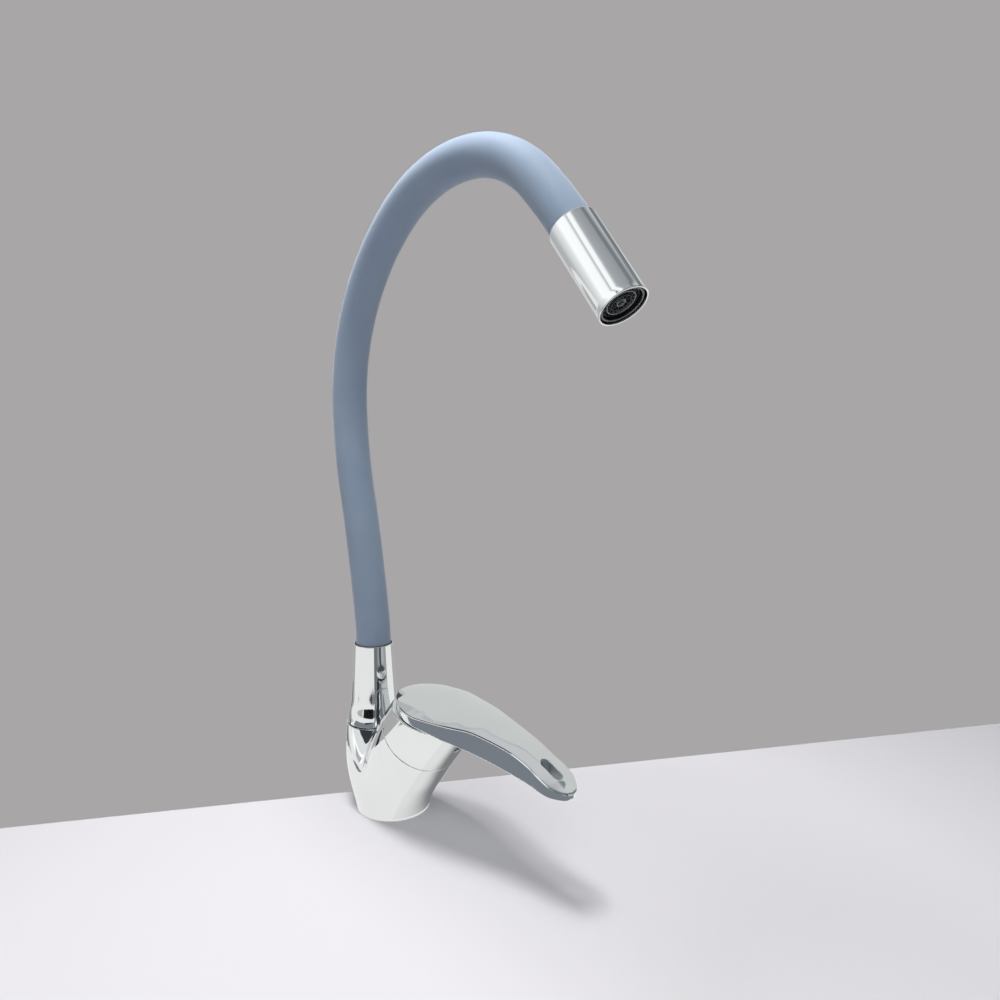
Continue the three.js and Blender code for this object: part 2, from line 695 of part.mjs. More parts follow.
// Points along the parting, moved up by a lift, from one x to another.
function partingLine(rear, front, lift) {
  const steps = 30;
  return Array.from({ length: steps + 1 }, (_, i) => {
    const x = rear + (front - rear) * i / steps;
    return [x, partingHeight(x, lift)];
  });
}

// A block that holds everything under the parting.
function underParting(lift) {
  const rear = BLADE_REAR - FOOT_RADIUS;
  const front = DECK_SLOT_FRONT + FOOT_RADIUS;
  const over = partingLine(rear, front, lift).reverse();
  return slab([[rear, 0], [front, 0], ...over], DRUM_RADIUS + FOOT_RADIUS);
}

function bladeRing(lengthShare) {
  const x = BLADE_REAR + BLADE_LENGTH * lengthShare;
  const widthShare = follow(BLADE_WIDTH_SHARES, lengthShare);
  const width = BLADE_HALF_WIDTH * widthShare;
  const rim = tipHeight + BLADE_FALL * follow(BLADE_RIM_SHARES, lengthShare);
  const sole = tipHeight + BLADE_FALL * follow(BLADE_SOLE_SHARES, lengthShare);
  const crown = BLADE_CROWN * widthShare ** 2;
  const bandShare = follow(BLADE_BAND_SHARES, lengthShare);
  const band = rim - (rim - sole) * bandShare;
  const lip = Math.min(BLADE_LIP, width * HALF);
  const ring = [];
  const across = 12;
  for (let i = 0; i <= across; i += 1) {
    const share = 1 - 2 * i / across;
    ring.push(point(x, width * share, rim + crown * (1 - share * share)));
  }
  const corner = 4;
  for (let i = 0; i <= corner; i += 1) {
    const angle = Math.PI * HALF * i / corner;
    const out = width - lip * (1 - Math.cos(angle));
    ring.push(point(x, -out, band - (band - sole) * Math.sin(angle)));
  }
  for (let i = corner; i >= 0; i -= 1) {
    const angle = Math.PI * HALF * i / corner;
    const out = width - lip * (1 - Math.cos(angle));
    ring.push(point(x, out, band - (band - sole) * Math.sin(angle)));
  }
  return ring;
}

function bladeSkin() {
  const rings = [];
  for (let i = 1; i < BLADE_STATIONS; i += 1) {
    rings.push(bladeRing(HALF - HALF * Math.cos(Math.PI * i / BLADE_STATIONS)));
  }
  const ends = [0, 1].map((share) => centre(bladeRing(share)));
  return shell([[ends[0]], ...rings, [ends[1]]]);
}

const hub = moved(rod(HUB_RADIUS, HUB_BOTTOM, HUB_TOP, SMALL), STEM);
const hubSocket = moved(
  block(-STEM_THICK * HALF - SEAT, STEM_THICK * HALF + SEAT, -STEM_WIDTH * HALF - SEAT,
    STEM_WIDTH * HALF + SEAT, HUB_BOTTOM - CUT, STEM_TOP + SEAT), STEM);
const towardsPlug = new THREE.Matrix4().makeRotationY(Math.PI * HALF);
const screwHole = moved(moved(rod(SCREW_RADIUS + SEAT, 0, HUB_RADIUS + CUT, TINY), towardsPlug)
  .translate(0, 0, SCREW_HEIGHT), STEM);
const slotX = BLADE_REAR + BLADE_LENGTH * SLOT_SHARE;
const slotHole = prism(oblong(slotX, SLOT_HALF_LENGTH, SLOT_HALF_WIDTH), 0, DECK_SLOT_FRONT + FOOT_RADIUS);
const blade = cut(bladeSkin(), underParting(SEAM));
const lever = cut(joined(blade, hub), hubSocket, screwHole, slotHole);
const screwStart = STEM_THICK * HALF + SEAT + SEAT;
const leverScrew = moved(moved(rod(SCREW_RADIUS, screwStart, screwStart + SCREW_LENGTH, TINY), towardsPlug)
  .translate(0, 0, SCREW_HEIGHT), STEM);

// The turret

const turretSkin = common(moved(rod(DRUM_RADIUS, SEAM, TURRET_HEIGHT, FINE), DRUM),
  underParting(0));
const turretHollow = common(moved(rod(DRUM_RADIUS - TURRET_WALL, -CUT, TURRET_HEIGHT, FINE), DRUM),
  underParting(-TURRET_DECK));
const deckSlot = slab([
  ...partingLine(DECK_SLOT_BACK, DECK_SLOT_FRONT, -TURRET_DECK - RUN),
  ...partingLine(DECK_SLOT_BACK, DECK_SLOT_FRONT, CUT).reverse(),
], DECK_SLOT_HALF);
const plugPlace = new THREE.Matrix4().makeRotationY(Math.PI * HALF)
  .setPosition(DRUM_RADIUS, 0, PLUG_HEIGHT);
const plugHole = moved(moved(rod(PLUG_RADIUS + SEAT * HALF, -HUB_RADIUS, CUT, SMALL), plugPlace), DRUM);
const turret = cut(turretSkin, turretHollow, deckSlot, plugHole);
const indexPlug = moved(moved(rod(PLUG_RADIUS, -TURRET_WALL, -SEAT, SMALL), plugPlace), DRUM);

const dustOuter = rollRadius - TURRET_DECK - RUN;

function dustOutline() {
  const steps = 20;
  const arc = (radius, i) => {
    const angle = STEM_LEAN + (-DUST_BACK + (DUST_BACK + DUST_FRONT) * i / steps) * DEGREE;
    return [PIVOT_X + radius * Math.sin(angle), PIVOT_Z + radius * Math.cos(angle)];
  };
  const outer = Array.from({ length: steps + 1 }, (_, i) => arc(dustOuter, i));
  const inner = Array.from({ length: steps + 1 }, (_, i) => arc(dustOuter - DUST_THICK, steps - i));
  return [...outer, ...inner];
}

const dustSlide = cut(
  new THREE.ExtrudeGeometry(
    new THREE.Shape(dustOutline().map(([x, z]) => new THREE.Vector2(x, z))),
    { depth: 2 * DUST_HALF, bevelEnabled: false })
    .rotateX(Math.PI * HALF).translate(0, DUST_HALF, 0),
  moved(rod(HUB_RADIUS + SEAT, HUB_BOTTOM - CUT, HUB_TOP, SMALL), STEM));

// The spout cone and swivel, about the swivel axis

const coneBottom = SPOUT_RIM_HEIGHT + SEAM;
const coneTop = SPOUT_RIM_HEIGHT + CONE_HEIGHT;
const ferruleBottom = coneTop - FERRULE_LENGTH;
const coneFlare = [
  [0, CONE_LIP_RADIUS],
  [CONE_LIP_HEIGHT, CONE_LIP_RADIUS - RUN],
  [CONE_SHOULDER_HEIGHT, CONE_SHOULDER_RADIUS],
  [CONE_WAIST_HEIGHT, CONE_WAIST_RADIUS],
  [CONE_UPPER_HEIGHT, CONE_UPPER_RADIUS],
  [CONE_HEIGHT, CONE_TOP_RADIUS],
];
const coneSteps = 9;
const coneOuter = Array.from({ length: coneSteps + 1 }, (_, i) => {
  const rise = SEAM + (CONE_HEIGHT - SEAM) * i / coneSteps;
  return [follow(coneFlare, rise), SPOUT_RIM_HEIGHT + rise];
});
const coneBlank = turned([[0, coneBottom], ...coneOuter, [0, coneTop]], FINE);
const coneInside = turned([
  [0, coneBottom - CUT],
  [THRUST_OUTER + SEAT, coneBottom - CUT],
  [THRUST_OUTER + SEAT, thrustTop + SEAT],
  [CONE_BORE, thrustTop + SEAT],
  [CONE_BORE, clipBottom - SEAT],
  [CLIP_OUTER + SEAT, clipBottom - SEAT],
  [CLIP_OUTER + SEAT, clipTop + SEAT],
  [CONE_BORE, clipTop + SEAT],
  [CONE_BORE, coneBoreTop],
  [CONE_WATER, coneBoreTop],
  [CONE_WATER, ferruleBottom - SEAT],
  [FERRULE_RADIUS + SEAT, ferruleBottom - SEAT],
  [FERRULE_RADIUS + SEAT, coneTop - NECK_INSET],
  [NECK_RADIUS + SEAT, coneTop - NECK_INSET],
  [NECK_RADIUS + SEAT, coneTop - COLLAR_DEPTH - SEAT * HALF],
  [NECK_RADIUS + COLLAR_WALL + SEAT * HALF, coneTop - COLLAR_DEPTH - SEAT * HALF],
  [NECK_RADIUS + COLLAR_WALL + SEAT * HALF, coneTop + CUT],
  [0, coneTop + CUT],
], ROUND);
const spoutCone = cut(coneBlank, coneInside);
const thrustRing = washer(CONE_BORE, THRUST_OUTER, SPOUT_RIM_HEIGHT + SEAT, thrustTop);
const clipBlank = washer(CLIP_INNER, CLIP_OUTER, clipBottom, clipTop);
const clipMouth = CLIP_OUTER * Math.tan(CLIP_GAP * HALF);
const swivelClip = cut(clipBlank,
  block(0, CLIP_OUTER + CUT, -clipMouth, clipMouth, clipBottom - CUT, clipTop + CUT));

// The neck

// Where the neck's middle line is, and how far it leans from straight up, after a length of it.
function neckAt(length) {
  let x = -SWIVEL_SETBACK;
  let z = coneTop;
  let lean = 0;
  const go = (run, bend) => {
    const chord = bend === 0 ? run : 2 * run / bend * Math.sin(bend * HALF);
    x += chord * Math.sin(lean + bend * HALF);
    z += chord * Math.cos(lean + bend * HALF);
    lean += bend;
  };
  let left = Math.max(length, 0);
  NECK_ARC_SHARES.forEach((share, i) => {
    const whole = share * NECK_LENGTH;
    const run = Math.min(left, whole);
    go(run, -NECK_TURNS[i] * DEGREE * run / whole);
    left -= run;
  });
  go(length < 0 ? length : left, 0);
  return leaning(x, z, lean);
}

// The lengths at which a piece of the neck between two ends gets its rings.
function neckStations(from, to) {
  const stations = [from];
  const steps = Math.ceil((NECK_LENGTH + NECK_STEP) / NECK_STEP);
  for (let i = 0; i < steps; i += 1) {
    const at = i * NECK_STEP;
    if (at > from + CUT && at < to - CUT) {
      stations.push(at);
    }
  }
  return [...stations, to];
}

function neckRing(radius, length, around) {
  const frame = neckAt(length);
  return ringAt(radius, 0, around).map((p) => p.applyMatrix4(frame));
}

// A curved tube along the neck between two lengths.
function neckTube(inner, outer, from, to, around) {
  const stations = neckStations(from, to);
  const up = stations.map((at) => neckRing(outer, at, around));
  const down = stations.reverse().map((at) => neckRing(inner, at, around));
  return shell([...up, ...down], true);
}

// A curved rod along the neck between two lengths.
function neckRod(radius, from, to, around) {
  return capped(neckStations(from, to).map((at) => neckRing(radius, at, around)));
}

const joints = JOINT_SHARES.map((share) => share * NECK_LENGTH);
const headEnd = NECK_LENGTH + SLEEVE_WALL;
const seams = joints.slice(0, -1).map((at, i) => (at + joints[i + 1]) * HALF);
const sleeveEnds = [-NECK_INSET + SEAT, ...seams, headEnd];
const sleeves = joints.map((_, i) => {
  const from = sleeveEnds[i] + (i > 0 ? SEAT * HALF : 0);
  const to = sleeveEnds[i + 1] - (i < joints.length - 1 ? SEAT * HALF : 0);
  return neckTube(NECK_RADIUS - SLEEVE_WALL, NECK_RADIUS, from, to, NECK_SIDES);
});

const coreStart = SEAT;
const coreEnd = NECK_LENGTH - FERRULE_SOCKET * HALF;
const coreEnds = [coreStart, ...joints, coreEnd];
const jointBall = (i, radius) => moved(ball(radius, CORE_SIDES), neckAt(joints[i]));

// One length of the steel core: a ball at its upper end sits in the hollow lower end of the next.
function coreLength(i) {
  const lastOne = i === joints.length;
  const top = lastOne ? coreEnd : joints[i];
  const outside = [neckRod(CORE_RADIUS, coreEnds[i], top, CORE_SIDES)];
  if (!lastOne) {
    outside.push(jointBall(i, CORE_RADIUS));
  }
  const reach = lastOne ? CUT : CORE_RADIUS + CUT;
  const hollow = [neckRod(CORE_BORE, coreEnds[i] - CUT, top + reach, TINY)];
  if (i > 0) {
    hollow.push(jointBall(i - 1, CORE_RADIUS + BALL_GAP));
  }
  return cut(lastOne ? outside[0] : joined(...outside), ...hollow);
}

const cores = coreEnds.slice(1).map((_, i) => coreLength(i));
const tubeReach = CORE_RADIUS - CUT;
const tubes = coreEnds.slice(1).map((end, i) => {
  const from = i === 0 ? -FERRULE_SOCKET + SEAT : joints[i - 1] + CORE_RADIUS + BALL_GAP + SEAT;
  const to = i === joints.length ? NECK_LENGTH + FERRULE_SOCKET * HALF - SEAT : end + tubeReach;
  return neckTube(TUBE_BORE, TUBE_RADIUS, from, to, TINY);
});

// A ferrule about Z: the tube's socket opens upwards at the given height.
function ferrule(bottom, top, socketBottom) {
  return turned([
    [FERRULE_WATER, bottom],
    [FERRULE_RADIUS, bottom],
    [FERRULE_RADIUS, top],
    [TUBE_RADIUS + SEAT, top],
    [TUBE_RADIUS + SEAT, socketBottom],
    [FERRULE_WATER, socketBottom],
  ], SMALL);
}

const lowerFerrule = ferrule(ferruleBottom, coneTop, coneTop - FERRULE_SOCKET);

// The outlet head, in a frame whose Z runs from the hose towards the outlet

const HEAD = neckAt(NECK_LENGTH);
const upperFerrule = ferrule(-HEAD_WEB_BOTTOM + SEAT, FERRULE_SOCKET * HALF - SEAT,
  -FERRULE_SOCKET * HALF).rotateY(Math.PI);
const roundSteps = 3;
const headRound = Array.from({ length: roundSteps + 1 }, (_, i) => {
  const angle = Math.PI * HALF * i / roundSteps;
  return [HEAD_EDGE * (1 - Math.cos(angle)), HEAD_EDGE * (1 - Math.sin(angle))];
});
const headLip = HEAD_EDGE * HEAD_LIP_SHARE;
const headBlank = turned([
  [0, 0],
  ...headRound.slice().reverse().map(([inward, along]) => [HEAD_RADIUS - HEAD_EDGE + inward, along]),
  [HEAD_RADIUS, HEAD_LENGTH - headLip],
  [HEAD_RADIUS - headLip, HEAD_LENGTH],
  [0, HEAD_LENGTH],
], FINE);
const aeratorSeat = HEAD_LENGTH - AERATOR_DEPTH;
const headInside = turned([
  [0, -CUT],
  [NECK_RADIUS + SEAT, -CUT],
  [NECK_RADIUS + SEAT, HEAD_WEB_TOP - SLEEVE_WALL],
  [FERRULE_RADIUS + SEAT, HEAD_WEB_TOP],
  [FERRULE_RADIUS + SEAT, HEAD_WEB_BOTTOM],
  [HEAD_CHAMBER, HEAD_WEB_BOTTOM],
  [HEAD_CHAMBER, aeratorSeat],
  [AERATOR_POCKET, aeratorSeat],
  [AERATOR_POCKET, HEAD_LENGTH + CUT],
  [0, HEAD_LENGTH + CUT],
], NECK_SIDES);
const headSleeve = cut(headBlank, headInside);
const washerBottom = aeratorSeat + SEAT;
const washerTop = washerBottom + WASHER_THICK;
const headWasher = washer(WASHER_INNER, AERATOR_RADIUS, washerBottom, washerTop, NECK_SIDES);
const housingStart = washerTop + SEAT;
const housingEnd = HEAD_LENGTH - OUTLET_RECESS;
const insertEnd = housingEnd - OUTLET_RECESS;
const insertStart = insertEnd - INSERT_THICK;
const ledge = insertStart - SEAT;
const aeratorHousing = turned([
  [AERATOR_LIP, housingStart],
  [AERATOR_RADIUS, housingStart],
  [AERATOR_RADIUS, housingEnd - HEAD_EDGE * HALF],
  [AERATOR_RADIUS - HEAD_EDGE * HALF, housingEnd],
  [AERATOR_BORE, housingEnd],
  [AERATOR_BORE, ledge],
  [AERATOR_LIP, ledge],
], NECK_SIDES);
const screenBottom = housingStart + SCREEN_THICK;
const screenHoles = SCREEN_ROW_SHARES.flatMap((share, row) => (
  Array.from({ length: SCREEN_COUNT * (row + 1) }, (_, i) => {
    const radius = share * AERATOR_LIP;
    const angle = FULL_TURN * i / (SCREEN_COUNT * (row + 1));
    return rod(SCREEN_HOLE, screenBottom - CUT, screenBottom + CUT, SCREEN_SIDES)
      .translate(radius * Math.cos(angle), radius * Math.sin(angle), 0);
  })));
const aeratorScreen = cut(
  rod(AERATOR_LIP - SEAT, screenBottom, screenBottom + SCREEN_THICK, SMALL), ...screenHoles);
const ringRadii = INSERT_RING_SHARES.map((share) => share * AERATOR_BORE);
const insertRings = ringRadii.map((radius) => (
  washer(radius - INSERT_RING_WALL, radius, insertStart, insertEnd, SMALL)));
const insertRibs = Array.from({ length: INSERT_RIBS }, (_, i) => (
  block(ringRadii[2] - INSERT_RING_WALL * HALF, ringRadii[0] - INSERT_RING_WALL * HALF,
    -INSERT_RIB * HALF, INSERT_RIB * HALF, insertStart, insertEnd - INSERT_RIB)
    .rotateZ(FULL_TURN * i / INSERT_RIBS)));
const insertRim = washer(ringRadii[0] - INSERT_RING_WALL * HALF, AERATOR_BORE - SEAT,
  insertStart, insertEnd - INSERT_RING_WALL);
const aeratorInsert = joined(insertRim, ...insertRings, ...insertRibs);

const collarSeal = washer(NECK_RADIUS + SEAT * HALF, NECK_RADIUS + COLLAR_WALL, coneTop - COLLAR_DEPTH,
  coneTop + SEAT);

// Names, finishes and assembly

const finishes = {
  chrome: { color: 0xdfe1e4, metalness: 1, roughness: 0.08 },
  steel: { color: 0xb4b6b8, metalness: 1, roughness: 0.35 },
  brass: { color: 0xc7a45a, metalness: 1, roughness: 0.35 },
  silicone: { color: 0x74879a, metalness: 0, roughness: 0.55 },
  rubber: { color: 0x1b1b1c, metalness: 0, roughness: 0.8 },
  nylon: { color: 0xe6e4dc, metalness: 0, roughness: 0.5 },
  plastic: { color: 0x202123, metalness: 0, roughness: 0.45 },
  ceramic: { color: 0xf1efe8, metalness: 0, roughness: 0.25 },
  hose: { color: 0xd8dde0, metalness: 0, roughness: 0.4 },
  index: { color: 0xb02a2a, metalness: 0, roughness: 0.4 },
};

const tap = new THREE.Group();

function add(name, finish, geometry, frame = null) {
  const placed = frame ? moved(geometry, frame) : geometry;
  const mesh = new THREE.Mesh(placed, new THREE.MeshStandardMaterial(finishes[finish]));
  mesh.name = name;
  tap.add(mesh);
}

add('body', 'chrome', body);
add('base_gasket', 'rubber', baseGasket);
add('mounting_stud', 'brass', stud);
add('clamp_washer', 'rubber', clampRubber);
add('clamp_plate', 'steel', clampPlate);
add('clamp_nut', 'brass', clampNut);
add('cartridge_base', 'nylon', cartridgeBase, DRUM);
add('seal_hot', 'rubber', seals[0], DRUM);
add('seal_cold', 'rubber', seals[1], DRUM);
add('seal_outlet', 'rubber', seals[2], DRUM);
add('fixed_disc', 'ceramic', fixedDisc, DRUM);
add('moving_disc', 'ceramic', movingDisc, DRUM);
add('cartridge_carrier', 'plastic', carrier, DRUM);
add('cartridge_housing', 'nylon', housing, DRUM);
add('cartridge_stem', 'brass', stem, STEM);
add('stem_pin', 'steel', stemPin, DRUM);
add('retaining_nut', 'brass', retainer, DRUM);
add('guide_ring', 'nylon', guideRing, DRUM);
add('turret', 'chrome', turret);
add('index_plug', 'index', indexPlug);
add('dust_slide', 'plastic', dustSlide);
add('lever', 'chrome', lever);
add('lever_screw', 'steel', leverScrew);
add('spout_cone', 'chrome', spoutCone, SWIVEL);
add('thrust_ring', 'nylon', thrustRing, SWIVEL);
add('swivel_seal_lower', 'rubber', oring(oringMiddle, sealLow, ORING_RADIUS, SMALL), SWIVEL);
add('swivel_seal_upper', 'rubber', oring(oringMiddle, sealHigh, ORING_RADIUS, SMALL), SWIVEL);
add('swivel_clip', 'steel', swivelClip, SWIVEL);
add('collar_seal', 'rubber', collarSeal, SWIVEL);
add('neck_ferrule_lower', 'brass', lowerFerrule, SWIVEL);
cores.forEach((core, i) => add(`neck_core_${i}`, 'steel', core));
tubes.forEach((tube, i) => add(`water_tube_${i}`, 'hose', tube));
sleeves.forEach((sleeve, i) => add(`neck_sleeve_${i + 1}`, 'silicone', sleeve));
add('neck_ferrule_upper', 'brass', upperFerrule, HEAD);
add('outlet_sleeve', 'chrome', headSleeve, HEAD);
add('outlet_washer', 'rubber', headWasher, HEAD);
add('aerator_housing', 'plastic', aeratorHousing, HEAD);
add('aerator_screen', 'steel', aeratorScreen, HEAD);
add('aerator_insert', 'plastic', aeratorInsert, HEAD);

export default tap;
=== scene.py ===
# Flexible single-lever kitchen tap: the looks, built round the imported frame.
# Sizes are in millimetres, as on the part, and become metres where a mesh is made. The places of the lamps and
# of the camera are in metres.

import json
import math

import bpy
import numpy as np
from mathutils import Matrix


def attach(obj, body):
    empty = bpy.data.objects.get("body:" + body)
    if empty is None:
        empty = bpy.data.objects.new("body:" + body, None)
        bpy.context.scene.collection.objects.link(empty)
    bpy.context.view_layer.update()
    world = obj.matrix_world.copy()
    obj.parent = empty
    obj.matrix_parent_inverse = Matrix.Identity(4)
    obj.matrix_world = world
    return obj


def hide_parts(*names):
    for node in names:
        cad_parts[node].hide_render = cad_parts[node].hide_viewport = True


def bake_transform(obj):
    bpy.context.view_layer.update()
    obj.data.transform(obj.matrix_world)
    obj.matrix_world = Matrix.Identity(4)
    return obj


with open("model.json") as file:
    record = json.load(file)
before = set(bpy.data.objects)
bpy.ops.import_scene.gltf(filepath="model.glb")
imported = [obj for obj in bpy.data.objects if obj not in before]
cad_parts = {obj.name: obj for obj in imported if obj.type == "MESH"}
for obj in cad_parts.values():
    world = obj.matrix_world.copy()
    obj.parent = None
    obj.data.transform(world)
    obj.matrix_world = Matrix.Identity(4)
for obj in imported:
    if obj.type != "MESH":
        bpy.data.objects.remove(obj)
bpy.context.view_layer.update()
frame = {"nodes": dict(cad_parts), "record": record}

MM = 0.001
FULL_TURN = 2 * math.pi
DEGREE = math.pi / 180

# How finely curves are drawn.
FINE = 144
ROUND = 96
SHARP_ANGLE = 40 * DEGREE

# Main sizes of the body and its two branches, as on the part: the drum carries the lever, and the spout turns
# about an upright axis behind the foot's middle.
DRUM_TILT = 40 * DEGREE
DRUM_FORWARD = 31.4
DRUM_HEIGHT = 60.2
DRUM_RADIUS = 27.6
FOOT_RADIUS = 23.3
SWIVEL_BACK = 21.9
SPOUT_RIM_HEIGHT = 54.5
SPOUT_RIM_RADIUS = 19.2
DRUM_PULL = 30
SPOUT_SWELL = 3.9
DRUM_SWELL = 1.3
LIFT_DEPTH = 14
SEAM = 0.5
SEAT = 0.3


# Small pieces of geometry

def follow(points, at):
    """A smooth curve through listed points, read off at any place."""
    last = len(points) - 1
    i = 0
    while i < last - 1 and at > points[i + 1][0]:
        i += 1
    slopes = [(points[k + 1][1] - points[k][1]) / (points[k + 1][0] - points[k][0]) for k in range(last)]

    def meet(a, b):
        return 2 * a * b / (a + b) if a * b > 0 else 0

    start = meet(slopes[i - 1], slopes[i]) if i > 0 else slopes[i]
    end = meet(slopes[i], slopes[i + 1]) if i < last - 1 else slopes[i]
    span = points[i + 1][0] - points[i][0]
    t = min(max((at - points[i][0]) / span, 0), 1)
    from_first = (2 * t ** 3 - 3 * t ** 2 + 1) * points[i][1] + (t ** 3 - 2 * t ** 2 + t) * span * start
    from_second = (3 * t ** 2 - 2 * t ** 3) * points[i + 1][1] + (t ** 3 - t ** 2) * span * end
    return from_first + from_second


def leaning(x, z, lean):
    """A frame whose own Z leans from straight up towards +X."""
    made = np.eye(4)
    made[:3, 0] = (math.cos(lean), 0, -math.sin(lean))
    made[:3, 2] = (math.sin(lean), 0, math.cos(lean))
    made[:3, 3] = (x, 0, z)
    return made


def placed(points, matrix):
    """Points of a leaning frame, in the tap's own frame."""
    points = np.asarray(points, float)
    return points @ matrix[:3, :3].T + matrix[:3, 3]


def circle(radius, height, sides):
    """A level ring of points round Z."""
    angles = FULL_TURN * np.arange(sides) / sides
    return np.stack([radius * np.cos(angles), radius * np.sin(angles), np.full(sides, height)], 1)


CORNER_STEPS = 4
CORNER_ROOM = 0.45
NEARLY_STRAIGHT = math.pi - 0.35


def softened(outline, radius):
    """A closed outline with each of its corners rounded off."""
    points = np.asarray(outline, float)
    made = []
    for i, corner in enumerate(points):
        before = points[i - 1] - corner
        after = points[(i + 1) % len(points)] - corner
        room = min(np.linalg.norm(before), np.linalg.norm(after)) * CORNER_ROOM
        before = before / np.linalg.norm(before)
        after = after / np.linalg.norm(after)
        opening = math.acos(float(np.clip(before @ after, -1, 1)))
        if opening > NEARLY_STRAIGHT:
            made.append(corner)
            continue
        pull = min(radius / math.tan(opening / 2), room)
        for k in range(CORNER_STEPS + 1):
            t = k / CORNER_STEPS
            made.append(corner + before * pull * (1 - t) ** 2 + after * pull * t ** 2)
    return np.array(made)


# Where the arc of a rounded edge gives way to a side that slopes a little.
SIDE_ANGLE = 0.2


def edge_arc(middle_radius, middle_height, size, first, last, count):
    """Points of a turned outline on part of a small circle, from one angle to another."""
    return [(middle_radius + size * math.cos(angle), middle_height + size * math.sin(angle))
            for angle in np.linspace(first, last, count)]


def oblong(inner, outer, low, high):
    """The outline of a plain flat or upright ring."""
    return [(inner, low), (outer, low), (outer, high), (inner, high)]


# Meshes

def smooth_mesh(name, points, faces):
    """A smooth-shaded mesh from points in millimetres."""
    mesh = bpy.data.meshes.new(name)
    mesh.from_pydata((np.asarray(points) * MM).tolist(), [], faces)
    mesh.validate()
    mesh.polygons.foreach_set("use_smooth", [True] * len(mesh.polygons))
    return mesh


def linked(name, mesh, material):
    """Puts a mesh into the scene with its material."""
    mesh.materials.append(material)
    made = bpy.data.objects.new(name, mesh)
    bpy.context.scene.collection.objects.link(made)
    return made


def object_from(name, points, faces, material):
    """An object that is shaded smooth between its sharp edges."""
    mesh = smooth_mesh(name, points, faces)
    mesh.set_sharp_from_angle(angle=SHARP_ANGLE)
    return linked(name, mesh, material)


def grid_faces(rows, columns):
    """Quads over rows of points that close round, as the rows themselves do."""
    faces = []
    for i in range(rows):
        here, there = i * columns, (i + 1) % rows * columns
        for j in range(columns):
            k = (j + 1) % columns
            faces.append((here + j, here + k, there + k, there + j))
    return faces


def skin(name, rings, material):
    """A closed body over a loop of rings."""
    rings = np.asarray(rings)
    rows, columns = rings.shape[:2]
    made = object_from(name, rings.reshape(-1, 3), grid_faces(rows, columns), material)
    weighted = made.modifiers.new("even_normals", "WEIGHTED_NORMAL")
    weighted.keep_sharp = True
    return made


def turned(name, outline, material, matrix, sides=FINE, soft=0.0):
    """A ring turned from a closed outline of (radius, height), anticlockwise seen with radius to the right."""
    profile = softened(outline, soft) if soft else np.asarray(outline, float)
    return skin(name, [placed(circle(radius, height, sides), matrix) for radius, height in profile], material)


DRUM = leaning(DRUM_FORWARD, DRUM_HEIGHT, DRUM_TILT)
SWIVEL = leaning(-SWIVEL_BACK, 0, 0)
PIVOT_X = DRUM_FORWARD - LIFT_DEPTH * math.sin(DRUM_TILT)
PIVOT_Z = DRUM_HEIGHT - LIFT_DEPTH * math.cos(DRUM_TILT)


# Materials

def srgb(red, green, blue):
    """A colour as the eye reads it, out of 255, turned into the renderer's own scale."""
    def linear(value):
        value /= 255
        return value / 12.92 if value <= 0.04045 else ((value + 0.055) / 1.055) ** 2.4
    return (linear(red), linear(green), linear(blue), 1)


def new_material(name):
    """A material with its node tree and its main shader."""
    made = bpy.data.materials.new(name)
    made.use_nodes = True
    return made, made.node_tree, made.node_tree.nodes["Principled BSDF"]


def feed(tree, socket, value):
    """Sets a socket to a colour, or links it to another node's output."""
    if isinstance(value, tuple):
        socket.default_value = value
    else:
        tree.links.new(value, socket)


def noise(tree, scale, detail, roughness, stretch=(1, 1, 1)):
    """Fine unevenness in the object's own space, in units of 1 / scale metres."""
    places = tree.nodes.new("ShaderNodeTexCoord")
    mapping = tree.nodes.new("ShaderNodeMapping")
    mapping.inputs["Scale"].default_value = stretch
    made = tree.nodes.new("ShaderNodeTexNoise")
    made.inputs["Scale"].default_value = scale
    made.inputs["Detail"].default_value = detail
    made.inputs["Roughness"].default_value = roughness
    tree.links.new(places.outputs["Object"], mapping.inputs["Vector"])
    tree.links.new(mapping.outputs["Vector"], made.inputs["Vector"])
    return made


# The values between which nearly all of a noise lies.
NOISE_LOW = 0.3
NOISE_HIGH = 0.7


def spread(tree, source, low, high):
    """Maps the middle of a noise to a range of values."""
    made = tree.nodes.new("ShaderNodeMapRange")
    made.inputs["From Min"].default_value = NOISE_LOW
    made.inputs["From Max"].default_value = NOISE_HIGH
    made.inputs["To Min"].default_value = low
    made.inputs["To Max"].default_value = high
    tree.links.new(source, made.inputs["Value"])
    return made.outputs["Result"]


def tinted(tree, source, first, second):
    """From the first colour to the second; each is a colour or another node's output."""
    made = tree.nodes.new("ShaderNodeMix")
    made.data_type = "RGBA"
    feed(tree, made.inputs["A"], first)
    feed(tree, made.inputs["B"], second)
    tree.links.new(source, made.inputs["Factor"])
    return made.outputs["Result"]


def bump(tree, shader, source, strength, distance):
    """Fine relief on a shader, from a noise; its depth is in metres."""
    made = tree.nodes.new("ShaderNodeBump")
    made.inputs["Strength"].default_value = strength
    made.inputs["Distance"].default_value = distance
    tree.links.new(source, made.inputs["Height"])
    tree.links.new(made.outputs["Normal"], shader.inputs["Normal"])


PLATE_DULLING = 0.955
PLATE_RELIEF = 0.05
PLATE_DEPTH = 0.00004
GRAIN_DEPTH = 0.00003


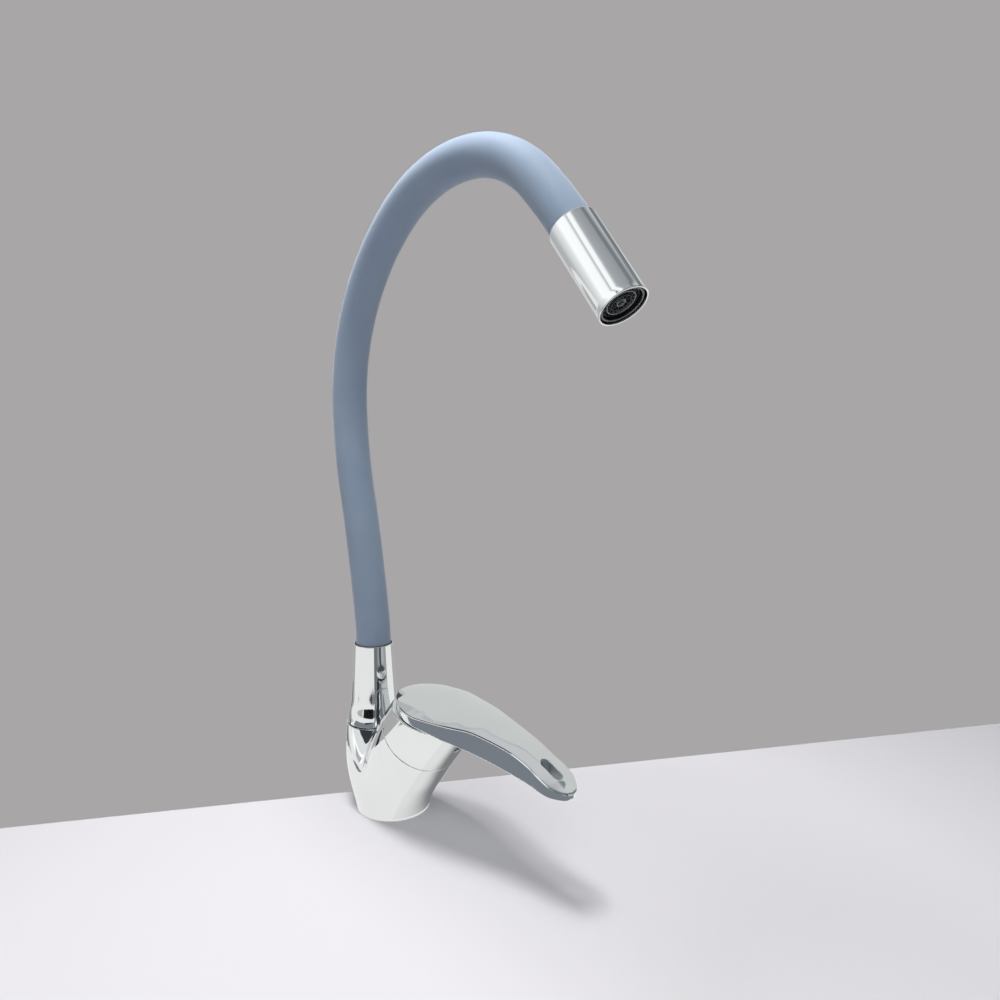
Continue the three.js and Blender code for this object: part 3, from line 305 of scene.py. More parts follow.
def chrome_material(name, colour, smear):
    """Plated metal with a faint unevenness in its colour, gloss and surface."""
    made, tree, shader = new_material(name)
    shader.inputs["Metallic"].default_value = 1
    fine = noise(tree, scale=900, detail=4, roughness=0.6)
    broad = noise(tree, scale=22, detail=3, roughness=0.55)
    tree.links.new(spread(tree, fine.outputs["Fac"], *smear), shader.inputs["Roughness"])
    pale = srgb(*colour)
    dull = tuple(PLATE_DULLING * value for value in pale[:3]) + (1,)
    tree.links.new(tinted(tree, spread(tree, broad.outputs["Fac"], 0, 1), pale, dull),
                   shader.inputs["Base Color"])
    bump(tree, shader, broad.outputs["Fac"], PLATE_RELIEF, PLATE_DEPTH)
    return made


def plain_material(name, first, second, roughness, grain, metal=0.0, relief=0.1, stretch=(1, 1, 1)):
    """A surface with a fine grain in its colour, gloss and relief."""
    made, tree, shader = new_material(name)
    shader.inputs["Metallic"].default_value = metal
    fine = noise(tree, grain, detail=5, roughness=0.6, stretch=stretch)
    tree.links.new(tinted(tree, spread(tree, fine.outputs["Fac"], 0, 1), srgb(*first), srgb(*second)),
                   shader.inputs["Base Color"])
    tree.links.new(spread(tree, fine.outputs["Fac"], *roughness), shader.inputs["Roughness"])
    bump(tree, shader, fine.outputs["Fac"], relief, GRAIN_DEPTH)
    return made


def silicone_material():
    """Matt rubber with a soft sheen and a very fine grain."""
    made, tree, shader = new_material("blue_grey_silicone")
    broad = noise(tree, scale=30, detail=3, roughness=0.5)
    grain = noise(tree, scale=2600, detail=4, roughness=0.65)
    tone = tinted(tree, spread(tree, broad.outputs["Fac"], 0, 1), srgb(122, 138, 158), srgb(127, 143, 162))
    tree.links.new(tone, shader.inputs["Base Color"])
    tree.links.new(spread(tree, grain.outputs["Fac"], 0.5, 0.62), shader.inputs["Roughness"])
    shader.inputs["Sheen Weight"].default_value = 0.25
    shader.inputs["Sheen Roughness"].default_value = 0.4
    shader.inputs["Specular IOR Level"].default_value = 0.45
    bump(tree, shader, grain.outputs["Fac"], strength=0.12, distance=GRAIN_DEPTH)
    return made


chrome = chrome_material("chrome_plate", (236, 238, 238), (0.035, 0.075))
satin = chrome_material("satin_slot", (206, 209, 212), (0.4, 0.55))
silicone = silicone_material()
black_rubber = plain_material("black_rubber", (24, 24, 26), (38, 38, 40), (0.55, 0.75), 900)
black_plastic = plain_material("black_plastic", (13, 14, 15), (24, 25, 27), (0.32, 0.5), 1200)
ring_plastic = plain_material("ring_plastic", (118, 121, 124), (140, 143, 146), (0.3, 0.42), 1200)
dark_ring = plain_material("dark_ring_plastic", (48, 51, 54), (64, 67, 70), (0.3, 0.45), 1200)
nylon = plain_material("white_nylon", (222, 220, 208), (236, 234, 224), (0.4, 0.55), 500)
ceramic = plain_material("ceramic", (236, 234, 226), (246, 244, 238), (0.12, 0.2), 300, relief=0.02)
brass = plain_material("brass", (196, 160, 92), (214, 180, 112), (0.24, 0.36), 700, 1.0)
steel = plain_material("steel", (150, 152, 154), (178, 180, 182), (0.28, 0.42), 500, 1.0,
                       stretch=(1, 1, 0.08))
core_steel = plain_material("core_steel", (120, 122, 124), (146, 148, 150), (0.34, 0.5), 600, 1.0)
clear_hose = plain_material("clear_hose", (206, 212, 216), (222, 227, 230), (0.3, 0.42), 300)
plug_grey = plain_material("grey_plug", (70, 74, 80), (88, 92, 98), (0.35, 0.5), 900)

SLOT_MATERIALS = {
    "chrome_plate": chrome, "black_rubber": black_rubber, "brass": brass, "steel": steel,
    "core_steel": core_steel, "blue_grey_silicone": silicone, "clear_hose": clear_hose,
    "white_nylon": nylon, "black_plastic": black_plastic, "ceramic": ceramic, "grey_plug": plug_grey,
}

# How the CAD nodes are shaded: the reach of the weld is in metres. The solids inside the hose stay out of the
# chrome's reflections, as the hose does.
WELD_REACH = 0.00001
NODE_EDGE_ANGLE = 32 * DEGREE
UNDER_THE_HOSE = ("neck_core", "neck_ferrule", "water_tube")


def dress_frame():
    """Gives each CAD node its own procedural finish, welded and shaded smooth within its edges."""
    for part in frame["record"]["subparts"]:
        node = frame["nodes"][part["node"]]
        node.data.materials.clear()
        node.data.materials.append(SLOT_MATERIALS[part["material_slot"]])
        weld = node.modifiers.new("weld", "WELD")
        weld.merge_threshold = WELD_REACH
        split = node.modifiers.new("edges", "EDGE_SPLIT")
        split.split_angle = NODE_EDGE_ANGLE
        if part["node"].startswith(UNDER_THE_HOSE):
            node.visible_glossy = False
        node.data.polygons.foreach_set("use_smooth", [True] * len(node.data.polygons))


# Sculpted pieces: a skin where a distance field passes through nought. Each field takes x, y and z arrays
# that spread over each other, in millimetres, and is negative inside.

def rounded_cut(a, b, radius):
    """Where two fields overlap, with their outer edge rounded."""
    beyond = np.hypot(np.maximum(a + radius, 0), np.maximum(b + radius, 0))
    return np.minimum(np.maximum(a, b), -radius) + beyond


def net_faces(inside, index, axis):
    """Quads round the grid edges along one axis at which the field changes sign."""
    first = [slice(1, None)] * 3
    first[axis] = slice(0, -1)
    a, b = inside[tuple(first)], inside[1:, 1:, 1:]
    crossed = np.argwhere(a != b)
    leaving = a[tuple(crossed.T)]
    crossed += 1
    crossed[:, axis] -= 1
    keep = np.all(crossed < np.array(index.shape), axis=1)
    crossed, leaving = crossed[keep], leaving[keep]
    u, v = (axis + 1) % 3, (axis + 2) % 3
    corners = []
    for du, dv in ((1, 1), (0, 1), (0, 0), (1, 0)):
        place = crossed.copy()
        place[:, u] -= du
        place[:, v] -= dv
        corners.append(index[tuple(place.T)])
    quads = np.stack(corners, 1)
    quads[~leaving] = quads[~leaving][:, ::-1]
    return quads


def surface_net(field, low, high, step):
    """Points and quads near the surface of a field, from a regular grid."""
    axes = [np.arange(low[k] - 2 * step, high[k] + 3 * step, step) for k in range(3)]
    values = field(axes[0][:, None, None], axes[1][None, :, None], axes[2][None, None, :])
    inside = values < 0
    shape = tuple(n - 1 for n in values.shape)
    total = np.zeros(shape + (3,))
    count = np.zeros(shape)
    for axis in range(3):
        u, v = (axis + 1) % 3, (axis + 2) % 3
        for du in (0, 1):
            for dv in (0, 1):
                near = [None] * 3
                near[u], near[v] = slice(du, du + shape[u]), slice(dv, dv + shape[v])
                near[axis] = slice(0, shape[axis])
                far = list(near)
                far[axis] = slice(1, 1 + shape[axis])
                a, b = values[tuple(near)], values[tuple(far)]
                crossed = (a < 0) != (b < 0)
                share = np.where(crossed, a / np.where(crossed, a - b, 1), 0)
                total[..., axis] += share
                total[..., u] += crossed * du
                total[..., v] += crossed * dv
                count += crossed
    used = count > 0
    index = np.full(shape, -1)
    index[used] = np.arange(int(used.sum()))
    origin = np.array([axis[0] for axis in axes])
    points = origin + (np.argwhere(used) + total[used] / count[used][:, None]) * step
    return points, np.concatenate([net_faces(inside, index, axis) for axis in range(3)])


GRID_STEP = 0.5
SLOPE_REACH = 0.02
DRAWING_ROUNDS = 5
LEAST_STEEP = 0.05
TINY = 1e-9


def slope_of(field, points):
    """The field's slope at each point."""
    made = np.empty_like(points)
    for axis in range(3):
        there, back = points.copy(), points.copy()
        there[:, axis] += SLOPE_REACH
        back[:, axis] -= SLOPE_REACH
        made[:, axis] = (field(*there.T) - field(*back.T)) / (2 * SLOPE_REACH)
    return made


def sculpted(name, field, low, high, material):
    """A mesh drawn onto a field's surface, shaded by the field's own slope."""
    points, quads = surface_net(field, low, high, GRID_STEP)
    for _ in range(DRAWING_ROUNDS):
        slope = slope_of(field, points)
        steep = np.maximum((slope ** 2).sum(1), LEAST_STEEP)
        move = slope * (field(*points.T) / steep)[:, None]
        length = np.linalg.norm(move, axis=1, keepdims=True)
        points = points - move * np.minimum(1, 0.5 * GRID_STEP / np.maximum(length, TINY))
    slope = slope_of(field, points)
    normals = slope / np.maximum(np.linalg.norm(slope, axis=1, keepdims=True), TINY)
    mesh = smooth_mesh(name, points, quads.tolist())
    mesh.normals_split_custom_set_from_vertices(normals.tolist())
    return linked(name, mesh, material)


# The body's skin: the spout branch and the drum branch run into each other without a crease.

SKIN_GROW = 0.18
SKIN_WALL = 1.0
RIM_LIFT = 0.05
RIM_ROUND = 0.3
VALLEY_BLEND = 7.5
BRANCH_STEPS = 48
RIM_OPEN = 3


def branch_line(rim_x, rim_z, lean, rim_radius, knee_x, knee_z, swell):
    """Middles, leans and radii along one branch, from the foot to its rim."""
    made = []
    for i in range(BRANCH_STEPS + 1):
        t = i / BRANCH_STEPS
        left = 1 - t
        ease = t * t * (3 - 2 * t)
        radius = FOOT_RADIUS * left + rim_radius * t + 4 * swell * t * left
        x = 2 * t * left * knee_x + t * t * rim_x
        z = 2 * t * left * knee_z + t * t * rim_z
        made.append((x, z, lean * ease, radius))
    return np.array(made)


SPOUT_LINE = branch_line(-SWIVEL_BACK, SPOUT_RIM_HEIGHT, 0, SPOUT_RIM_RADIUS,
                         -SWIVEL_BACK / 2, SPOUT_RIM_HEIGHT / 2, SPOUT_SWELL)
DRUM_LINE = branch_line(DRUM_FORWARD, DRUM_HEIGHT, DRUM_TILT, DRUM_RADIUS,
                        DRUM_FORWARD - DRUM_PULL * math.sin(DRUM_TILT),
                        DRUM_HEIGHT - DRUM_PULL * math.cos(DRUM_TILT), DRUM_SWELL)


def branch_side(line, x, y, z):
    """How far outside a branch a point lies, measured square to the ring that it is level with."""
    x, z = np.broadcast_arrays(x, z)
    mid_x, mid_z, lean, radius = line.T
    level = ((x[..., None] - mid_x) * np.sin(lean) + (z[..., None] - mid_z) * np.cos(lean))
    passed = np.clip((level > 0).sum(-1) - 1, 0, len(line) - 2)
    first = np.take_along_axis(level, passed[..., None], -1)[..., 0]
    second = np.take_along_axis(level, passed[..., None] + 1, -1)[..., 0]
    t = np.clip(first / np.maximum(first - second, TINY), 0, 1)

    def between(values):
        return values[passed] * (1 - t) + values[passed + 1] * t

    turn = between(lean)
    across = (x - between(mid_x)) * np.cos(turn) - (z - between(mid_z)) * np.sin(turn)
    return np.hypot(across, y) - between(radius) - SKIN_GROW


def above_rim(line, x, z):
    """Height over a branch's rim, square to it."""
    mid_x, mid_z, lean, _ = line[-1]
    return (x - mid_x) * math.sin(lean) + (z - mid_z) * math.cos(lean)


def valley_join(a, b):
    """Two fields together, run into each other where they meet."""
    near = np.clip(1 - np.abs(a - b) / VALLEY_BLEND, 0, 1)
    return np.minimum(a, b) - near ** 3 * VALLEY_BLEND / 6


def body_field(x, y, z):
    """The body's wall, open at its foot and at both rims."""
    spout, drum = branch_side(SPOUT_LINE, x, y, z), branch_side(DRUM_LINE, x, y, z)
    spout_top, drum_top = above_rim(SPOUT_LINE, x, z), above_rim(DRUM_LINE, x, z)
    outer = valley_join(rounded_cut(spout, spout_top - RIM_LIFT, RIM_ROUND),
                        rounded_cut(drum, drum_top - RIM_LIFT, RIM_ROUND))
    outer = rounded_cut(outer, -z - RIM_LIFT, RIM_ROUND)
    inner = valley_join(np.maximum(spout, spout_top - RIM_OPEN), np.maximum(drum, drum_top - RIM_OPEN)) + SKIN_WALL
    return np.maximum(outer, -inner)


# The turret and the lever share a parting: a slope in front and, behind, a curve about the lift pivot.

PARTING_X = 38
PARTING_HEIGHT = 81
PARTING_FALL = 0.167
PARTING_SLANT = math.hypot(1, PARTING_FALL)
ROLL_RADIUS = (PARTING_HEIGHT + PARTING_FALL * (PARTING_X - PIVOT_X) - PIVOT_Z) / PARTING_SLANT


def above_parting(x, z):
    """Height over the parting, square to it."""
    side, up = x - PIVOT_X, z - PIVOT_Z
    flat = (side * PARTING_FALL + up) / PARTING_SLANT - ROLL_RADIUS
    curved = np.hypot(side, up) - ROLL_RADIUS
    return np.where(side - up * PARTING_FALL > 0, flat, curved)


def in_frame(frame_matrix, x, y, z):
    """A point's place in a leaning frame."""
    turn, origin = frame_matrix[:3, :3], frame_matrix[:3, 3]
    side = (x - origin[0]) * turn[0, 0] + (z - origin[2]) * turn[2, 0]
    up = (x - origin[0]) * turn[0, 2] + (z - origin[2]) * turn[2, 2]
    return side, y, up


TURRET_WALL = 2.3
TURRET_DECK = 2.2
TURRET_ROUND = 0.6
TURRET_GAP = 0.2
DECK_SLOT_HALF = 8.8
DECK_SLOT_BACK = 28
DECK_SLOT_FRONT = 72
DECK_SLOT_DEPTH = 0.4
EDGE_BREAK = 0.3
PLUG_RADIUS = 3.2
PLUG_HEIGHT = 24
PLUG_REACH = 10


def turret_field(x, y, z):
    """The round skirt that turns with the lever, with the slot in its deck and the seat of its plug."""
    side, _, up = in_frame(DRUM, x, y, z)
    round_side = np.hypot(side, y)
    part = above_parting(x, z)
    outer = rounded_cut(round_side - DRUM_RADIUS - SKIN_GROW, TURRET_GAP - up, RIM_ROUND)
    outer = rounded_cut(outer, part, TURRET_ROUND)
    room = np.maximum(round_side - DRUM_RADIUS + TURRET_WALL, part + TURRET_DECK)
    opening = np.maximum(np.abs(y) - DECK_SLOT_HALF, np.maximum(DECK_SLOT_BACK - x, x - DECK_SLOT_FRONT))
    opening = np.maximum(opening, -part - TURRET_DECK - DECK_SLOT_DEPTH)
    plug = np.maximum(np.hypot(y, up - PLUG_HEIGHT) - PLUG_RADIUS - SEAT / 2, PLUG_REACH - side)
    made = np.maximum(outer, -room)
    return rounded_cut(rounded_cut(made, -opening, EDGE_BREAK), -plug, EDGE_BREAK)


BLADE_REAR = 17
BLADE_LENGTH = 144.5
BLADE_HALF_WIDTH = 27.2
BLADE_TIP_HEIGHT = 64.6
BLADE_FALL = 24
BLADE_CROWN = 6
BLADE_EDGE = 0.9
BLADE_LIP = 0.6
BAND_UNDERCUT = math.tan(2 * DEGREE)
BLADE_SLOT_X = 145.2
BLADE_SLOT_HALF = 7
BLADE_SLOT_WIDTH = 3.1

# Along the blade from its rear to its tip, as shares of its length: its half width as a share of the widest, and
# how high its rim and its underside lie over the tip, as shares of its fall.
BLADE_WIDTHS = [
    (0, 0), (0.006, 0.22), (0.024, 0.42), (0.074, 0.665), (0.134, 0.857), (0.18, 0.96), (0.226, 1),
    (0.263, 0.993), (0.311, 0.949), (0.435, 0.812), (0.551, 0.621), (0.673, 0.507), (0.786, 0.434),
    (0.837, 0.419), (0.886, 0.43), (0.93, 0.404), (0.967, 0.294), (0.992, 0.147), (1, 0)]
BLADE_RIMS = [
    (0, 1), (0.074, 0.983), (0.18, 0.9), (0.299, 0.842), (0.435, 0.842), (0.526, 0.842),
    (0.613, 0.783), (0.731, 0.658), (0.81, 0.508), (0.886, 0.321), (0.967, 0.083), (1, 0)]
BLADE_SOLES = [
    (0, 0.225), (0.429, 0.429), (0.519, 0.321), (0.595, 0.254), (0.664, 0.167), (0.734, 0.083),
    (0.814, -0.029), (0.879, -0.125), (0.934, -0.179), (1, -0.133)]
BLADE_STATIONS = 180
SMOOTHING = 9


def smoothed(values):
    """Takes the small kinks out of a table along the blade."""
    kernel = np.hanning(SMOOTHING + 2)[1:-1]
    kernel /= kernel.sum()
    return np.convolve(np.pad(values, SMOOTHING // 2, mode="edge"), kernel, mode="valid")


SHARES = 0.5 - 0.5 * np.cos(np.linspace(0, math.pi, BLADE_STATIONS + 1))
BLADE_X = BLADE_REAR + BLADE_LENGTH * SHARES
WIDTH_AT = np.array([follow(BLADE_WIDTHS, share) for share in SHARES])
RIM_AT, SOLE_AT = (
    smoothed([BLADE_TIP_HEIGHT + BLADE_FALL * follow(heights, share) for share in SHARES])
    for heights in (BLADE_RIMS, BLADE_SOLES))


def outline_distance(x, y):
    """Distance outside the blade's plan outline, which is the same on both sides."""
    half = np.stack([BLADE_X, BLADE_HALF_WIDTH * WIDTH_AT], 1)
    starts, runs = half[:-1], np.diff(half, axis=0)
    lengths = (runs ** 2).sum(1)
    px, py = np.broadcast_arrays(x, np.abs(y))
    best = np.full(px.shape, np.inf)
    for (sx, sy), (rx, ry), length in zip(starts, runs, lengths):
        t = np.clip(((px - sx) * rx + (py - sy) * ry) / length, 0, 1)
        best = np.minimum(best, (px - sx - t * rx) ** 2 + (py - sy - t * ry) ** 2)
    inside = py < BLADE_HALF_WIDTH * np.interp(px, BLADE_X, WIDTH_AT, left=0, right=0)
    return np.where(inside, -1, 1) * np.sqrt(best)


STEM_LEAN = 12 * DEGREE
STEM = leaning(PIVOT_X, PIVOT_Z, DRUM_TILT + STEM_LEAN)
HUB_RADIUS = 8
HUB_BOTTOM = 29
HUB_TOP = 56
HUB_SINK = 1
SOCKET_HALF_THICK = 3.3
SOCKET_HALF_WIDTH = 4.3
SOCKET_TOP = 44.3
SCREW_HEIGHT = 40
SCREW_HOLE_RADIUS = 2.6
SLOT_ROUND = 0.7
SLOT_SATIN = 0.2


def slot_distance(x, y):
    """Distance from the middle line of the slot near the blade's tip."""
    return np.hypot(np.maximum(np.abs(x - BLADE_SLOT_X) - BLADE_SLOT_HALF + BLADE_SLOT_WIDTH, 0), y)


def lever_field(x, y, z):
    """The blade with the slot near its tip, and under it the hub with its socket and screw hole."""
    plan = outline_distance(x, y)
    rim = np.interp(x, BLADE_X, RIM_AT)
    sole = np.interp(x, BLADE_X, SOLE_AT)
    share = np.interp(x, BLADE_X, WIDTH_AT)
    top = rim + BLADE_CROWN * (share ** 2 - (y / BLADE_HALF_WIDTH) ** 2)
    tilt = np.hypot(1, 2 * BLADE_CROWN * y / BLADE_HALF_WIDTH ** 2)
    band = (plan + BAND_UNDERCUT * np.maximum(rim - z, 0)) / math.hypot(1, BAND_UNDERCUT)
    under = np.maximum(sole - z, SEAM - above_parting(x, z))
    blade = rounded_cut(rounded_cut((z - top) / tilt, band, BLADE_EDGE), under, BLADE_LIP)
    side, _, up = in_frame(STEM, x, y, z)
    hub = np.maximum(np.hypot(side, y) - HUB_RADIUS, np.maximum(HUB_BOTTOM - up, up - HUB_TOP))
    socket = np.maximum(np.maximum(np.abs(side) - SOCKET_HALF_THICK, np.abs(y) - SOCKET_HALF_WIDTH), up - SOCKET_TOP)
    screw = np.maximum(np.hypot(y, up - SCREW_HEIGHT) - SCREW_HOLE_RADIUS, -side)
    made = np.minimum(blade, np.maximum(hub, (z - top) / tilt + HUB_SINK))
    made = rounded_cut(made, BLADE_SLOT_WIDTH - slot_distance(x, y), SLOT_ROUND)
    return np.maximum(np.maximum(made, -socket), -screw)


body_skin = sculpted("body_skin", body_field, (-42, -29, -0.5), (56, 29, 79), chrome)
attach(body_skin, "base")

turret_skin = sculpted("turret_skin", turret_field, (4, -29, 38), (78, 29, 87), chrome)
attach(turret_skin, "turret")
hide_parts("turret")

lever_skin = sculpted("lever_skin", lever_field, (15, -29, 55), (163, 29, 96), chrome)
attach(lever_skin, "lever")
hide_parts("lever")

# The walls of the slot near the tip are left satin.
lever_skin.data.materials.append(satin)
for face in lever_skin.data.polygons:
    if slot_distance(face.center.x / MM, face.center.y / MM) < BLADE_SLOT_WIDTH + SLOT_SATIN:
        face.material_index = 1


# The spout cone and the flexible neck

# The cone's outside: rise over the body's rim, and radius.
CONE_FLARE = [
    (0, 18.6), (4, 18.35), (7, 17.95), (8.5, 17.68), (10.5, 17.27), (12.5, 16.87), (14, 16.62), (17, 16.3),
    (24, 15.75), (40.5, 14.5), (56, 13.4)]
CONE_HEIGHT = 56
CONE_TOP = SPOUT_RIM_HEIGHT + CONE_HEIGHT
CONE_FOOT = SPOUT_RIM_HEIGHT + SEAM
CONE_STEPS = 80
CONE_FOOT_ROUND = 0.4
CONE_LIP_ROUND = 0.34
CONE_LIP_DROP = 0.5
NECK_RADIUS = 12
NECK_WALL = 3.2
NECK_INSET = 3.4
COLLAR_WALL = 0.9
COLLAR_DEPTH = 1.4
COLLAR_BITE = 0.05
COLLAR_PROUD = 0.3
COLLAR_BORE = 13.05
COLLAR_BORE_DEPTH = 1.55
HOSE_BORE = 12.3
FERRULE_BORE = 8.7
FERRULE_BORE_DEPTH = 19.3
WATER_BORE = 7
SWIVEL_BORE = 10.4
SWIVEL_BORE_TOP = 81
RIM_BORE = 17.1
RIM_BORE_TOP = 56.7

CONE_SIDE = CONE_HEIGHT - SEAM - (CONE_FOOT_ROUND + CONE_LIP_DROP)
cone_rises = [SEAM + CONE_FOOT_ROUND + CONE_SIDE * i / CONE_STEPS for i in range(CONE_STEPS + 1)]
cone_outline = [(follow(CONE_FLARE, rise) + SKIN_GROW / 2, SPOUT_RIM_HEIGHT + rise) for rise in cone_rises]
cone_foot = edge_arc(cone_outline[0][0] - CONE_FOOT_ROUND, CONE_FOOT + CONE_FOOT_ROUND, CONE_FOOT_ROUND,
                     -math.pi / 2, -SIDE_ANGLE, 6)
cone_lip = edge_arc(cone_outline[-1][0] - CONE_LIP_ROUND, CONE_TOP - CONE_LIP_ROUND, CONE_LIP_ROUND,
                    SIDE_ANGLE, math.pi / 2, 6)
cone_inside = [
    (COLLAR_BORE, CONE_TOP - 0.1), (COLLAR_BORE, CONE_TOP - COLLAR_BORE_DEPTH),
    (HOSE_BORE, CONE_TOP - COLLAR_BORE_DEPTH), (HOSE_BORE, CONE_TOP - NECK_INSET),
    (FERRULE_BORE, CONE_TOP - NECK_INSET), (FERRULE_BORE, CONE_TOP - FERRULE_BORE_DEPTH),
    (WATER_BORE, CONE_TOP - FERRULE_BORE_DEPTH), (WATER_BORE, SWIVEL_BORE_TOP),
    (SWIVEL_BORE, SWIVEL_BORE_TOP), (SWIVEL_BORE, RIM_BORE_TOP), (RIM_BORE, RIM_BORE_TOP), (RIM_BORE, CONE_FOOT)]
spout_cone = turned("spout_cone_skin", cone_foot + cone_outline + cone_lip + cone_inside, chrome, SWIVEL)
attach(spout_cone, "spout")
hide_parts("spout_cone")

collar = turned("collar_seal_skin", oblong(
    NECK_RADIUS - COLLAR_BITE, NECK_RADIUS + COLLAR_WALL, CONE_TOP - COLLAR_DEPTH, CONE_TOP + COLLAR_PROUD),
    black_rubber, SWIVEL, soft=0.25)
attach(collar, "spout")
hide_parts("collar_seal")

# The neck's middle line is a chain of arcs: their shares of its length, and how far each leans back, in degrees,
# so that a turn below nought takes it forward and down.
NECK_LENGTH = 475
NECK_ARCS = [0.042, 0.189, 0.126, 0.292, 0.16, 0.113, 0.078]
NECK_TURNS = [8.2, 4.9, -11.8, -55.2, -44, -37.6, -7.3]
JOINT_SHARES = (0.165, 0.395, 0.62, 0.835)
JOINT_PLACES = [share * NECK_LENGTH for share in JOINT_SHARES]
NECK_SIDES = 120
NECK_STEP = 2


def neck_at(length):
    """The frame of the neck's middle line after a length of it."""
    x, z, lean = -SWIVEL_BACK, CONE_TOP, 0.0
    left = max(length, 0)
    for share, turn in zip(NECK_ARCS, NECK_TURNS):
        whole = share * NECK_LENGTH
        run = min(left, whole)
        bend = -turn * DEGREE * run / whole
        chord = run if abs(bend) < TINY else 2 * run / bend * math.sin(bend / 2)
        x += chord * math.sin(lean + bend / 2)
        z += chord * math.cos(lean + bend / 2)
        lean += bend
        left -= run
    spare = length if length < 0 else left
    return leaning(x + spare * math.sin(lean), z + spare * math.cos(lean), lean)


def neck_piece(name, start, end):
    """A length of the hose with its bore; both ends are square to the neck."""
    steps = max(2, math.ceil((end - start) / NECK_STEP))
    places = [start + (end - start) * i / steps for i in range(steps + 1)]
    rings = [placed(circle(NECK_RADIUS, 0, NECK_SIDES), neck_at(place)) for place in places]
    rings += [placed(circle(NECK_RADIUS - NECK_WALL, 0, NECK_SIDES), neck_at(place)) for place in reversed(places)]
    return skin(name, rings, silicone)


neck_seams = [(a + b) / 2 for a, b in zip(JOINT_PLACES, JOINT_PLACES[1:])]
neck_ends = [-NECK_INSET + SEAT] + neck_seams + [NECK_LENGTH + NECK_WALL]
for i, joint in enumerate(JOINT_PLACES):
    piece = neck_piece(f"neck_hose_{i + 1}", neck_ends[i], neck_ends[i + 1])
    middle = neck_at(joint)
    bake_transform(piece)
    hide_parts(f"neck_sleeve_{i + 1}")
    piece.visible_glossy = False


# The outlet head, in a frame whose Z runs from the hose to the outlet

HEAD = neck_at(NECK_LENGTH)
HEAD_LENGTH = 54.7
HEAD_RADIUS = 13.4
HEAD_FLARE = 0.35
HEAD_LIP_ROUND = 0.45
HEAD_TOP_ROUND = 1.1
AERATOR_BORE = 12.75
AERATOR_SHELF = 35
THROAT_BORE = 7.4
THROAT_START = 17
FERRULE_START = 8
HOSE_STOP = 4.8

head_lip = edge_arc(HEAD_RADIUS + HEAD_FLARE - HEAD_LIP_ROUND, HEAD_LENGTH - HEAD_LIP_ROUND, HEAD_LIP_ROUND,
                    -SIDE_ANGLE, math.pi / 2, 7)
head_top = edge_arc(HEAD_RADIUS - HEAD_TOP_ROUND, HEAD_TOP_ROUND, HEAD_TOP_ROUND, -math.pi / 2, 0, 9)
head_side = [
    (HEAD_RADIUS, 8), (HEAD_RADIUS, 20), (HEAD_RADIUS, 34), (HEAD_RADIUS, HEAD_LENGTH - 4),
    (HEAD_RADIUS + 0.05, HEAD_LENGTH - 2.6), (HEAD_RADIUS + HEAD_FLARE * 0.6, HEAD_LENGTH - 1.5)]
head_inside = [
    (AERATOR_BORE + 0.1, HEAD_LENGTH - 0.1), (AERATOR_BORE, HEAD_LENGTH - 0.6), (AERATOR_BORE, AERATOR_SHELF),
    (THROAT_BORE, AERATOR_SHELF), (THROAT_BORE, THROAT_START), (FERRULE_BORE, THROAT_START),
    (FERRULE_BORE, FERRULE_START), (HOSE_BORE, HOSE_STOP), (HOSE_BORE - 0.15, 0.1)]
head_sleeve = turned("outlet_sleeve_skin", head_top + head_side + head_lip + head_inside, chrome, HEAD)
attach(head_sleeve, "head")
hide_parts("outlet_sleeve")

HOUSING_START = 37.2
HOUSING_END = HEAD_LENGTH - 1.2
HOUSING_RADIUS = 12.3
HOUSING_BORE = 10.7
HOUSING_LEDGE = 9.9
INSERT_END = HOUSING_END - 1.2
INSERT_SEAT = INSERT_END - 6.3
INSERT_RADIUS = 10.5
INSERT_HOLE = 0.5
INSERT_FACE = INSERT_END - 2
RIM_RING_INSIDE = 11.05
RIM_RING_OUTSIDE = 11.6
RIM_RING_SUNK = 0.5
RIM_RING_PROUD = 0.12

housing = turned("aerator_housing_skin", [
    (HOUSING_LEDGE, HOUSING_START), (HOUSING_RADIUS, HOUSING_START), (HOUSING_RADIUS, HOUSING_END),
    (HOUSING_BORE, HOUSING_END), (HOUSING_BORE, INSERT_SEAT), (HOUSING_LEDGE, INSERT_SEAT)],
    black_plastic, HEAD, soft=0.45)
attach(housing, "head")
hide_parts("aerator_housing")

rim_ring = turned("aerator_rim_ring", oblong(
    RIM_RING_INSIDE, RIM_RING_OUTSIDE, HOUSING_END - RIM_RING_SUNK, HOUSING_END + RIM_RING_PROUD),
    ring_plastic, HEAD, soft=0.12)
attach(rim_ring, "head")

insert = turned("aerator_insert_skin", [
    (INSERT_HOLE, INSERT_END - 6), (INSERT_RADIUS, INSERT_END - 6), (INSERT_RADIUS, INSERT_END - 0.6),
    (9.7, INSERT_END - 0.6), (9.4, INSERT_FACE), (INSERT_HOLE, INSERT_FACE)], black_plastic, HEAD, soft=0.2)
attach(insert, "head")
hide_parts("aerator_insert")

# The rings on the insert's face: radius, wall and material.
INSERT_RINGS = [(8.15, 0.55, ring_plastic), (5.6, 0.35, dark_ring), (2.5, 0.5, ring_plastic)]
RING_DEPTH = 3
for k, (radius, wall, finish) in enumerate(INSERT_RINGS):
    ring = turned(f"aerator_ring_{k + 1}", oblong(radius - wall, radius, INSERT_END - RING_DEPTH, INSERT_END),
                  finish, HEAD, sides=ROUND, soft=0.14)
    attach(ring, "head")

